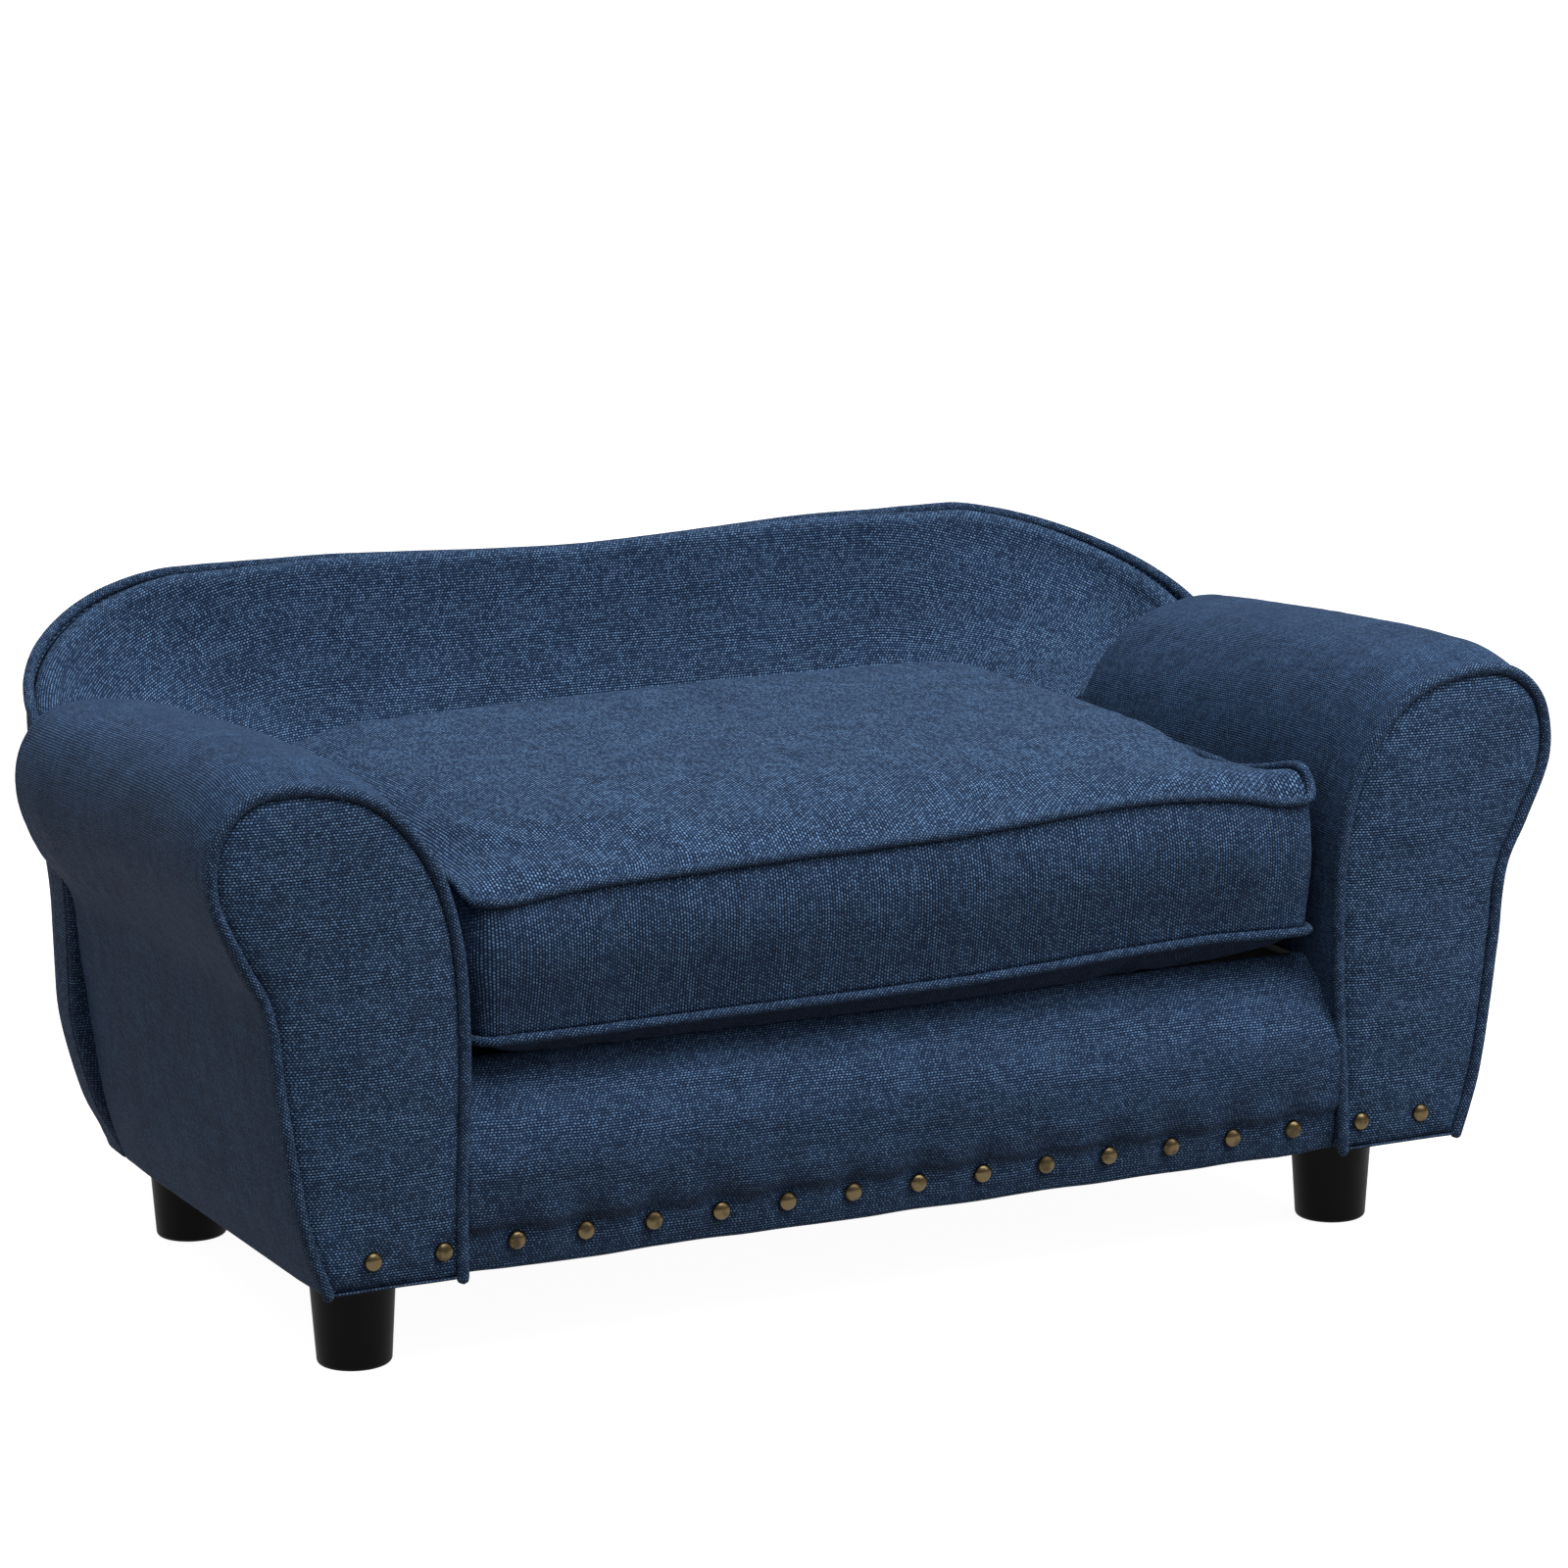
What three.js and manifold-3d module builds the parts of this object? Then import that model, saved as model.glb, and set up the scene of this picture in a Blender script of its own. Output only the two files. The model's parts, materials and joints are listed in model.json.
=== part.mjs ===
// A small upholstered sofa made as a dog bed: a wooden base on four screw-in feet, two rolled arms,
// a back that curves round both rear corners, and a loose zipped seat cushion.
// Millimetres, +Z up, +X to the right seen from the front, the front faces -Y, the floor is z = 0.
import * as THREE from 'three';
import { mergeVertices } from 'three/addons/utils/BufferGeometryUtils.js';
import Module from 'manifold-3d';

const wasm = await Module();
wasm.setup();

// ---- driving dimensions ----
const FRONT = -224; // face of the arm front panels
const REAR = 227; // outer line of the back, at its rim
const BACK_TOP = 346; // top of the welt along the middle of the back
const SEAT_LINE = 250; // height where the back starts to flare out to its rim
const HEM = 58; // lower edge of the covers
const WELT = 3; // radius of the welt cord
const GAP = 0.3; // clearance between pieces that touch
const FABRIC = 1.2; // upholstery cover with its lining

const ARM_END = 88; // rear end of the arms
const ARM_FOAM = 14;
const BOARD = 18; // solid wood boards of the frame
const REAR_BOARD = 12; // board near the rear end of each arm
const REAR_BOARD_IN = 20; // how far it stands in from that end, which the cover rounds off
const PANEL = 1.5; // front panel's cloth
const PANEL_PAD = 1.5; // room behind it, where the cloth is drawn in beside the welt
const CLAD = 4.2; // how far the arm cover stands outside the front panel's edge

const TOP_RAIL = { x: [300, 345], low: 264 }; // wooden rail inside each roll
const SIDE_PANEL = 3; // hardboard behind each arm's outer side
const SIDE_PANEL_TOP = 205;

const FOOT_X = 285;
const FOOT_YS = [-155, 98];
const FOOT_HEIGHT = 54;
const FOOT_RADII = [19.2, 22.5]; // at the floor, at the top
const STUD = 4; // radius of the threaded stud in each foot

const DECK = 157.3; // top of the seat board
const DECK_HALF = 244;
const RAIL = 15;
const SLAB_BASE = 56; // underside of the boards that carry the feet
const SLAB_TOP = 71;

const CUSHION = { half: 243.5, front: -224, rear: 174, frontRadius: 18, rearRadius: 77 };
const CUSHION_LOW = 177; // centre of the lower welt
const CUSHION_HIGH = 252; // centre of the upper welt
const CROWN = { top: 23, bottom: 15 }; // how far the cushion swells above and below its welts

const NAIL_Z = 72.5;
const NAIL_PITCH = 37;
const NAIL_HEAD = 5; // radius
const NAIL_ROW = 13; // nails across the base between the arms
const ARM_NAILS = [262, 299];

// Edge of the arm front panel as (distance from the middle, height), from the outer hem, over the
// roll, down to the inner hem.
const ARM_EDGE = new THREE.SplineCurve([
  new THREE.Vector2(319, HEM),
  new THREE.Vector2(331, 97),
  new THREE.Vector2(340, 160),
  new THREE.Vector2(345, 202),
  new THREE.Vector2(358, 230),
  new THREE.Vector2(371, 261),
  new THREE.Vector2(368, 289),
  new THREE.Vector2(350, 305.5),
  new THREE.Vector2(322, 306.5),
  new THREE.Vector2(291, 296.5),
  new THREE.Vector2(266, 267),
  new THREE.Vector2(254, 228),
  new THREE.Vector2(251, 172),
  new THREE.Vector2(254, 97),
  new THREE.Vector2(255, HEM),
]);

const MATERIALS = {
  fabric: new THREE.MeshStandardMaterial({ color: 0x3a5578, roughness: 0.95, metalness: 0 }),
  welt: new THREE.MeshStandardMaterial({ color: 0x35506f, roughness: 0.95, metalness: 0 }),
  foam: new THREE.MeshStandardMaterial({ color: 0xe8e0c8, roughness: 0.9, metalness: 0 }),
  pine: new THREE.MeshStandardMaterial({ color: 0xc9a46c, roughness: 0.7, metalness: 0 }),
  plywood: new THREE.MeshStandardMaterial({ color: 0xb8905c, roughness: 0.7, metalness: 0 }),
  lining: new THREE.MeshStandardMaterial({ color: 0x17181a, roughness: 1, metalness: 0 }),
  plastic: new THREE.MeshStandardMaterial({ color: 0x141415, roughness: 0.45, metalness: 0 }),
  brass: new THREE.MeshStandardMaterial({ color: 0x6b5236, roughness: 0.4, metalness: 1 }),
  zinc: new THREE.MeshStandardMaterial({ color: 0x3c4048, roughness: 0.4, metalness: 1 }),
};

const bed = new THREE.Group();

function addPiece(name, geometry, material) {
  const piece = new THREE.Mesh(geometry, MATERIALS[material]);
  piece.name = name;
  bed.add(piece);
}

// ---- solids from points ----

/** Indexed geometry whose faces point out. */
function solid(points, faces) {
  const positions = points.flatMap((point) => [point.x, point.y, point.z]);
  const cross = new THREE.Vector3();
  let volume = 0;
  for (const [a, b, c] of faces) {
    volume += points[a].dot(cross.crossVectors(points[b], points[c]));
  }
  const index = faces.flatMap(([a, b, c]) => (volume < 0 ? [a, c, b] : [a, b, c]));
  const geometry = new THREE.BufferGeometry();
  geometry.setAttribute('position', new THREE.Float32BufferAttribute(positions, 3));
  geometry.setIndex(index);
  geometry.computeVertexNormals();
  return geometry;
}

/** Triangles over one flat ring of points, numbered from first, facing along or against its turn. */
function capFaces(ring, first, along) {
  const normal = new THREE.Vector3();
  ring.forEach((point, i) => {
    const next = ring[(i + 1) % ring.length];
    normal.add(new THREE.Vector3().crossVectors(point.clone().sub(ring[0]), next.clone().sub(ring[0])));
  });
  normal.normalize();
  const helper = Math.abs(normal.z) < 0.7 ? new THREE.Vector3(0, 0, 1) : new THREE.Vector3(1, 0, 0);
  const across = new THREE.Vector3().crossVectors(helper, normal).normalize();
  const up = new THREE.Vector3().crossVectors(normal, across);
  const flat = ring.map((point) => new THREE.Vector2(point.dot(across), point.dot(up)));
  return THREE.ShapeUtils.triangulateShape(flat, []).map(([a, b, c]) => {
    const ab = flat[b].clone().sub(flat[a]);
    const ac = flat[c].clone().sub(flat[a]);
    const turnsLeft = ab.cross(ac) > 0;
    const face = turnsLeft === along ? [a, b, c] : [a, c, b];
    return face.map((i) => i + first);
  });
}

/** Solid through a row of rings with equally many points; closed joins the last ring to the first. */
function loft(rings, closed = false) {
  const count = rings[0].length;
  const points = rings.flat();
  const faces = [];
  const steps = closed ? rings.length : rings.length - 1;
  for (let i = 0; i < steps; i += 1) {
    const here = i * count;
    const there = ((i + 1) % rings.length) * count;
    for (let j = 0; j < count; j += 1) {
      const [a, b] = [here + j, here + ((j + 1) % count)];
      const [d, c] = [there + j, there + ((j + 1) % count)];
      const shortWay = points[a].distanceTo(points[c]) < points[b].distanceTo(points[d]);
      faces.push(...(shortWay ? [[a, b, c], [a, c, d]] : [[a, b, d], [b, c, d]]));
    }
  }
  if (!closed) {
    faces.push(...capFaces(rings[0], 0, false));
    faces.push(...capFaces(rings[rings.length - 1], (rings.length - 1) * count, true));
  }
  return solid(points, faces);
}

/** Crowned solid over an outline: low and high give the heights at a share of the way out. */
function crownedSlab(outline, low, high, ringCount = 3) {
  const centre = new THREE.Vector2();
  outline.forEach((point) => centre.addScaledVector(point, 1 / outline.length));
  const points = [];
  const count = outline.length;
  for (const height of [low, high]) {
    for (let ring = 0; ring < ringCount; ring += 1) {
      const share = 1 - ring / ringCount;
      outline.forEach((point) => {
        const flat = centre.clone().lerp(point, share);
        points.push(new THREE.Vector3(flat.x, flat.y, height(share)));
      });
    }
    points.push(new THREE.Vector3(centre.x, centre.y, height(0)));
  }
  const layer = ringCount * count + 1;
  const faces = [];
  for (const [start, flip] of [[0, true], [layer, false]]) {
    for (let ring = 0; ring < ringCount; ring += 1) {
      for (let j = 0; j < count; j += 1) {
        const k = (j + 1) % count;
        const a = start + ring * count + j;
        const b = start + ring * count + k;
        const last = ring === ringCount - 1;
        const c = last ? start + ringCount * count : b + count;
        const d = a + count;
        faces.push(flip ? [a, c, b] : [a, b, c]);
        if (!last) faces.push(flip ? [a, d, c] : [a, c, d]);
      }
    }
  }
  for (let j = 0; j < count; j += 1) {
    const k = (j + 1) % count;
    faces.push([j, k, layer + k]);
    faces.push([j, layer + k, layer + j]);
  }
  return solid(points, faces);
}

/** Round cord along a path; up is a direction that the path never runs along. */
function cord(path, radius, up, closed = false, sides = 6) {
  const rings = path.map((point, i) => {
    const before = path[closed ? (i + path.length - 1) % path.length : Math.max(i - 1, 0)];
    const after = path[closed ? (i + 1) % path.length : Math.min(i + 1, path.length - 1)];
    const along = after.clone().sub(before).normalize();
    const across = new THREE.Vector3().crossVectors(along, up).normalize();
    const over = new THREE.Vector3().crossVectors(across, along);
    return Array.from({ length: sides }, (_, k) => {
      const angle = (k / sides) * 2 * Math.PI;
      const ring = point.clone().addScaledVector(across, radius * Math.cos(angle));
      return ring.addScaledVector(over, radius * Math.sin(angle));
    });
  });
  return loft(rings, closed);
}

/** Box between two corners. */
function block(low, high) {
  const size = high.map((value, axis) => value - low[axis]);
  const geometry = new THREE.BoxGeometry(...size);
  geometry.translate(...high.map((value, axis) => (value + low[axis]) / 2));
  return geometry;
}

/** Flat plate over a shape, with its lower face at the given height. */
function plate(shape, low, thickness) {
  const options = { depth: thickness, bevelEnabled: false, curveSegments: 4 };
  const geometry = new THREE.ExtrudeGeometry(shape, options);
  geometry.translate(0, 0, low);
  return geometry;
}

// ---- cutting with manifold-3d ----

function toManifold(geometry) {
  const bare = geometry.clone();
  bare.deleteAttribute('normal');
  bare.deleteAttribute('uv');
  const merged = mergeVertices(bare, 1e-4);
  return new wasm.Manifold(new wasm.Mesh({
    numProp: 3,
    vertProperties: new Float32Array(merged.attributes.position.array),
    triVerts: new Uint32Array(merged.index.array),
  }));
}

function subtract(geometry, cutters) {
  let body = toManifold(geometry);
  cutters.forEach((cutter) => {
    body = body.subtract(toManifold(cutter));
  });
  const mesh = body.getMesh();
  const result = new THREE.BufferGeometry();
  result.setAttribute('position', new THREE.BufferAttribute(new Float32Array(mesh.vertProperties), 3));
  result.setIndex(new THREE.BufferAttribute(new Uint32Array(mesh.triVerts), 1));
  result.computeVertexNormals();
  return result;
}

/** Cutter for a nail's or screw's hole, along Y from one place to another. */
function holeAlongY(x, z, radius, from, to) {
  const hole = new THREE.CylinderGeometry(radius, radius, to - from, 6);
  hole.translate(x, (from + to) / 2, z);
  return hole;
}

// ---- arms: sections across X and Z, run along Y ----

const ARM_LINE = ARM_EDGE.getSpacedPoints(31);

/** A rising line of points, made to start at a height on its own slope. */
function cutBelow(line, height) {
  const first = Math.max(line.findIndex((point) => point.y > height + 0.5), 1);
  const [low, high] = [line[first - 1], line[first]];
  const share = (height - low.y) / (high.y - low.y);
  return [low.clone().lerp(high, share), ...line.slice(first)];
}

/** The panel's edge line moved out by a distance, cut off at a height on its outer and inner side. */
function armOffset(distance, outerFoot = HEM, innerFoot = outerFoot) {
  const moved = ARM_LINE.map((point, i) => {
    const before = ARM_LINE[Math.max(i - 1, 0)];
    const after = ARM_LINE[Math.min(i + 1, ARM_LINE.length - 1)];
    const along = after.clone().sub(before).normalize();
    return new THREE.Vector2(point.x + along.y * distance, point.y - along.x * distance);
  });
  const outerSide = cutBelow(moved.slice(0, moved.length / 2), outerFoot);
  const innerSide = cutBelow(moved.slice(moved.length / 2).reverse(), innerFoot).reverse();
  return [...outerSide, ...innerSide];
}

function alongArm(side, section, from, to) {
  return loft([from, to].map((y) => section.map((point) => new THREE.Vector3(side * point.x, y, point.y))));
}

function armBlock(side, distance, from, to, above = HEM) {
  return alongArm(side, armOffset(distance, above), from, to);
}

function armSkin(side, inner, outer, from, to, feet) {
  const section = [...armOffset(outer, ...feet), ...armOffset(inner, ...feet).reverse()];
  return alongArm(side, section, from, to);
}

function buildArm(side, name) {
  const boardFront = FRONT + PANEL + PANEL_PAD + GAP;
  const boardRear = boardFront + BOARD;
  const rearBoardTo = ARM_END - REAR_BOARD_IN;
  const rearBoard = rearBoardTo - REAR_BOARD;
  const nailHoles = ARM_NAILS.map((x) => holeAlongY(side * x, NAIL_Z, 1.1, FRONT - 5, FRONT + 14));
  const foamBase = SLAB_TOP + 2 * GAP;

  const panel = armBlock(side, -0.4, FRONT, FRONT + PANEL);
  addPiece(`arm_front_panel_${name}`, subtract(panel, nailHoles), 'fabric');
  const board = armBlock(side, -0.5, boardFront, boardRear);
  addPiece(`arm_front_board_${name}`, subtract(board, nailHoles), 'pine');
  const rearBoardShape = armBlock(side, -9, rearBoard, rearBoardTo, foamBase);
  addPiece(`arm_rear_board_${name}`, rearBoardShape, 'pine');

  const foamOuter = CLAD - GAP;
  const foamInner = foamOuter - ARM_FOAM;
  const foamFrom = boardRear + GAP;
  const foamTo = rearBoard - GAP;
  const foam = armSkin(side, foamInner, foamOuter, foamFrom, foamTo, [foamBase]);
  addPiece(`arm_foam_${name}`, foam, 'foam');
  const cover = armSkin(side, CLAD, CLAD + FABRIC, FRONT + 5, ARM_END, [HEM, foamBase]);
  addPiece(`arm_cover_${name}`, cover, 'fabric');

  const railX = TOP_RAIL.x.map((x) => x * side).sort((a, b) => a - b);
  const rail = block([railX[0], foamFrom, TOP_RAIL.low], [railX[1], foamTo, TOP_RAIL.low + BOARD]);
  addPiece(`arm_top_rail_${name}`, rail, 'pine');

  // Hardboard behind the outer side's foam: the outer stretch of the arm's line, below the roll.
  const outerStretch = (distance) => armOffset(distance, foamBase)
    .filter((point, i, line) => i < line.length / 2 && point.y < SIDE_PANEL_TOP);
  const panelOuter = outerStretch(foamInner - GAP);
  const panelInner = outerStretch(foamInner - GAP - SIDE_PANEL);
  const sideSection = [...panelOuter, ...panelInner.reverse()];
  addPiece(`arm_side_panel_${name}`, alongArm(side, sideSection, foamFrom, foamTo), 'plywood');

  const weltY = FRONT + 1.2;
  const edge = armOffset(WELT + 0.2);
  const weltPath = edge.map((point) => new THREE.Vector3(side * point.x, weltY, point.y));
  addPiece(`arm_welt_${name}`, cord(weltPath, WELT, new THREE.Vector3(0, 1, 0)), 'welt');
}

// ---- back: upright sections fanned round a U-shaped plan ----

const BACK_OUTER = { half: 356, rear: REAR, radius: 114 };
const BACK_INNER = { half: 246.5, rear: 177, radius: 80 };
const REAR_SHARE = 0.45;
const TURN_TO = 0.85;
const RIM_DROP = 58; // how far the rim falls round each corner
const SIDE_DROP = 7; // and along the side, behind the arm
const RIM_DIP = 4.5; // how far the rim dips in the middle of the back
const DIP_TO = 0.38;
const REAR_RAKE = 36; // how far the back leans out between hem and rim
const SIDE_TUCK = 14; // how far the sides draw in at the hem
const SIDE_WAIST = 7; // and how far under the arms' rolls, from WAIST[1] down to WAIST[0]
const WAIST = [185, 265];
const RIM_WIDTH = 6.5;
const LAYER_GAP = 1; // between the curved layers

/** Place on a U and the way out from there: share -1 is its left end, 0 the middle, 1 its right end. */
function planPoint(share, plan) {
  const side = Math.sign(share) || 1;
  const t = Math.abs(share);
  const straight = plan.half - plan.radius;
  const turnY = plan.rear - plan.radius;
  const turnFrom = (REAR_SHARE * straight) / (BACK_OUTER.half - BACK_OUTER.radius);
  const turn = THREE.MathUtils.clamp((t - turnFrom) / (TURN_TO - turnFrom), 0, 1) * (Math.PI / 2);
  const outward = new THREE.Vector2(side * Math.sin(turn), Math.cos(turn));
  const place = new THREE.Vector2(side * straight, turnY).addScaledVector(outward, plan.radius);
  if (t < turnFrom) place.x *= t / turnFrom;
  if (t > TURN_TO) place.y = THREE.MathUtils.mapLinear(t, TURN_TO, 1, turnY, ARM_END + 2 * GAP);
  return { place, outward };
}

function cornerTurn(share) {
  return THREE.MathUtils.clamp((Math.abs(share) - REAR_SHARE) / (TURN_TO - REAR_SHARE), 0, 1);
}

function rimHeight(share) {
  const alongSide = THREE.MathUtils.clamp((Math.abs(share) - TURN_TO) / (1 - TURN_TO), 0, 1);
  const dip = RIM_DIP * (1 - THREE.MathUtils.smoothstep(Math.abs(share), 0, DIP_TO));
  return BACK_TOP - RIM_DROP * cornerTurn(share) ** 1.55 - SIDE_DROP * alongSide - dip;
}

/** Outside of the back at a height, moved in by a distance: it leans at the rear, tucks in at the sides. */
function outsideOfBack(share, z, distance) {
  const { place, outward } = planPoint(share, BACK_OUTER);
  const rearward = Math.cos((cornerTurn(share) * Math.PI) / 2);
  const lean = (REAR_RAKE * (BACK_TOP - z)) / (BACK_TOP - HEM);
  const waist = SIDE_WAIST * (1 - THREE.MathUtils.smoothstep(z, ...WAIST));
  const tuck = SIDE_TUCK * THREE.MathUtils.smoothstep(140 - z, 0, 140 - HEM) + waist;
  return place.addScaledVector(outward, -rearward * lean - (1 - rearward) * tuck - distance);
}

/** Seat side of the back at a height, moved towards the rear by a distance: it flares above the seat. */
function insideOfBack(share, z, distance) {
  const inner = planPoint(share, BACK_INNER);
  const flare = THREE.MathUtils.clamp((z - SEAT_LINE) / (rimHeight(share) - SEAT_LINE), 0, 1);
  const rim = planPoint(share, BACK_OUTER);
  rim.place.addScaledVector(rim.outward, -RIM_WIDTH);
  const outward = inner.outward.lerp(rim.outward, flare).normalize();
  return inner.place.lerp(rim.place, flare).addScaledVector(outward, distance);
}

function backShares() {
  const half = [0, 0.16, 0.31, 0.38];
  for (let i = 0; i <= 5; i += 1) half.push(THREE.MathUtils.lerp(REAR_SHARE, TURN_TO, i / 5));
  half.push(1);
  return [...half.slice(1).map((share) => -share).reverse(), ...half];
}

/** One layer of the back, between two faces, from a height up to a share of the flare. */
function backLayer(near, far, bottom, flareShare) {
  const rings = backShares().map((share) => {
    const rim = rimHeight(share) - 2 * WELT - 0.6;
    const heights = [0, 0.5, 1].map((t) => THREE.MathUtils.lerp(bottom, SEAT_LINE, t));
    const flare = [0.26, 0.52, 0.78, 1].filter((t) => t <= flareShare);
    flare.forEach((t) => heights.push(THREE.MathUtils.lerp(SEAT_LINE, rim, t)));
    const rise = (face) => heights.map((z) => {
      const place = face(share, z);
      return new THREE.Vector3(place.x, place.y, z);
    });
    return [...rise(near), ...rise(far).reverse()];
  });
  return loft(rings);
}

function buildBack() {
  const seatBase = DECK + 2;
  const behind = (distance) => (share, z) => outsideOfBack(share, z, distance);
  const ahead = (distance) => (share, z) => insideOfBack(share, z, distance);
  addPiece('rear_cover', backLayer(behind(0), behind(FABRIC), HEM, 1), 'fabric');
  const shell = [FABRIC + LAYER_GAP, FABRIC + 7];
  addPiece('back_shell', backLayer(behind(shell[0]), behind(shell[1]), HEM, 0.78), 'plywood');
  const foam = [behind(shell[1] + LAYER_GAP), ahead(FABRIC + LAYER_GAP)];
  addPiece('back_foam', backLayer(...foam, seatBase, 0.78), 'foam');
  addPiece('back_inner_cover', backLayer(ahead(FABRIC), ahead(0), seatBase, 1), 'fabric');
  const rim = backShares().map((share) => {
    const z = rimHeight(share) - WELT;
    const place = outsideOfBack(share, BACK_TOP, WELT + 0.2);
    return new THREE.Vector3(place.x, place.y, z);
  });
  addPiece('back_welt', cord(rim, WELT, new THREE.Vector3(0, 0, 1)), 'welt');
}

// ---- base ----

/** Shape with its front corners and rear corners rounded by their own radii. */
function roundedPlan(half, front, rear, frontRadius, rearRadius) {
  const shape = new THREE.Shape();
  shape.moveTo(0, front);
  shape.absarc(half - frontRadius, front + frontRadius, frontRadius, -Math.PI / 2, 0, false);
  shape.absarc(half - rearRadius, rear - rearRadius, rearRadius, 0, Math.PI / 2, false);
  shape.absarc(rearRadius - half, rear - rearRadius, rearRadius, Math.PI / 2, Math.PI, false);
  shape.absarc(frontRadius - half, front + frontRadius, frontRadius, Math.PI, 1.5 * Math.PI, false);
  shape.closePath();
  return shape;
}

function drill(shape, places, radius) {
  places.forEach(([x, y]) => {
    const hole = new THREE.Path();
    hole.absarc(x, y, radius, 0, 2 * Math.PI, true);
    shape.holes.push(hole);
  });
  return shape;
}

function rectangle(x0, y0, x1, y1) {
  const shape = new THREE.Shape();
  shape.moveTo(x0, y0);
  shape.lineTo(x1, y0);
  shape.lineTo(x1, y1);
  shape.lineTo(x0, y1);
  shape.closePath();
  return shape;
}

const BASE_NAILS = Array.from({ length: NAIL_ROW }, (_, i) => (i - (NAIL_ROW - 1) / 2) * NAIL_PITCH);

// Front of the base as (y, z): up the padded face, round the top edge and back over the seat board.
const APRON_EDGE = new THREE.SplineCurve([
  new THREE.Vector2(-217.5, HEM),
  new THREE.Vector2(-221, 75),
  new THREE.Vector2(-222.5, 105),
  new THREE.Vector2(-221.5, 130),
  new THREE.Vector2(-217.5, 144),
  new THREE.Vector2(-209.5, 153.5),
  new THREE.Vector2(-200, 158.8),
  new THREE.Vector2(-190, 162),
]);
const APRON = 2.2; // thickness of the padded cloth
const FRONT_RAIL = { depth: 24, chamfer: [11.5, 16] }; // depth, and how far back and down the chamfer goes
const SEAT_FRONT = -194;

function apronFace(z) {
  const line = APRON_EDGE.getSpacedPoints(80);
  return line.reduce((best, point) => (Math.abs(point.y - z) < Math.abs(best.y - z) ? point : best)).x;
}

function buildBase() {
  const railTop = DECK - 9 - GAP;
  const frontRail = [-214.5, -214.5 + FRONT_RAIL.depth];
  const rearRail = [165, 165 + RAIL];
  const sideFrom = frontRail[1] + GAP;
  const sideTo = rearRail[0] - GAP;
  const pilot = BASE_NAILS.map((x) => holeAlongY(x, NAIL_Z, 1.1, -230, frontRail[0] + 11));

  const [chamferBack, chamferDown] = FRONT_RAIL.chamfer;
  const railSection = [
    [frontRail[0], HEM],
    [frontRail[0], railTop - chamferDown],
    [frontRail[0] + chamferBack, railTop],
    [frontRail[1], railTop],
    [frontRail[1], HEM],
  ];
  const ends = [-DECK_HALF, DECK_HALF];
  const front = loft(ends.map((x) => railSection.map(([y, z]) => new THREE.Vector3(x, y, z))));
  addPiece('base_front_rail', subtract(front, pilot), 'pine');
  addPiece('base_rear_rail', block([-225, rearRail[0], HEM], [225, rearRail[1], railTop]), 'pine');
  for (const [side, name] of [[-1, 'left'], [1, 'right']]) {
    const railX = [side * (DECK_HALF - RAIL), side * DECK_HALF].sort((a, b) => a - b);
    addPiece(`base_side_rail_${name}`,
      block([railX[0], sideFrom, SLAB_TOP + GAP], [railX[1], sideTo, railTop]), 'pine');
    const slabX = [side * (DECK_HALF - RAIL), side * 316].sort((a, b) => a - b);
    const studs = FOOT_YS.map((y) => [side * FOOT_X, y]);
    const slab = drill(rectangle(slabX[0], sideFrom, slabX[1], 135), studs, STUD + 0.6);
    addPiece(`foot_board_${name}`, plate(slab, SLAB_BASE, SLAB_TOP - SLAB_BASE), 'plywood');
  }
  const deck = roundedPlan(DECK_HALF, SEAT_FRONT, 188, 2, 84);
  addPiece('seat_board', plate(deck, DECK - 9, 9), 'plywood');
  const deckCover = roundedPlan(DECK_HALF, -188, 187, 2, 83);
  addPiece('deck_cover', plate(deckCover, DECK + GAP, FABRIC), 'lining');

  const outer = APRON_EDGE.getSpacedPoints(11);
  const inner = outer.map((point, i) => {
    const before = outer[Math.max(i - 1, 0)];
    const after = outer[Math.min(i + 1, outer.length - 1)];
    const along = after.clone().sub(before).normalize();
    return new THREE.Vector2(point.x + along.y * APRON, point.y - along.x * APRON);
  });
  const section = [...outer, ...inner.reverse()];
  const apron = loft(ends.map((x) => section.map((point) => new THREE.Vector3(x, point.x, point.y))));
  addPiece('base_front_cover', subtract(apron, pilot), 'fabric');

  const dust = new THREE.Shape();
  dust.moveTo(-318, -216);
  dust.lineTo(318, -216);
  dust.lineTo(322, 84);
  dust.absarc(234, 84, 98, 0, Math.PI / 2, false);
  dust.absarc(-234, 84, 98, Math.PI / 2, Math.PI, false);
  dust.lineTo(-322, 84);
  dust.closePath();
  const feet = [-1, 1].flatMap((side) => FOOT_YS.map((y) => [side * FOOT_X, y]));
  addPiece('dust_cover', plate(drill(dust, feet, STUD + 1), FOOT_HEIGHT + 0.6, 1), 'lining');
}

// ---- seat cushion ----

function cushionOutline(inset) {
  const shape = roundedPlan(
    CUSHION.half - inset,
    CUSHION.front + inset,
    CUSHION.rear - inset,
    Math.max(CUSHION.frontRadius - inset, 4),
    CUSHION.rearRadius - inset,
  );
  const points = shape.getPoints(3);
  return points.filter((point, i) => point.distanceTo(points[(i + 1) % points.length]) > 0.01);
}

function ringAround(inset, thickness, low, high) {
  const outer = cushionOutline(inset);
  const inner = cushionOutline(inset + thickness);
  const rings = outer.map((point, i) => [
    new THREE.Vector3(point.x, point.y, low),
    new THREE.Vector3(point.x, point.y, high),
    new THREE.Vector3(inner[i].x, inner[i].y, high),
    new THREE.Vector3(inner[i].x, inner[i].y, low),
  ]);
  return loft(rings, true);
}

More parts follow.
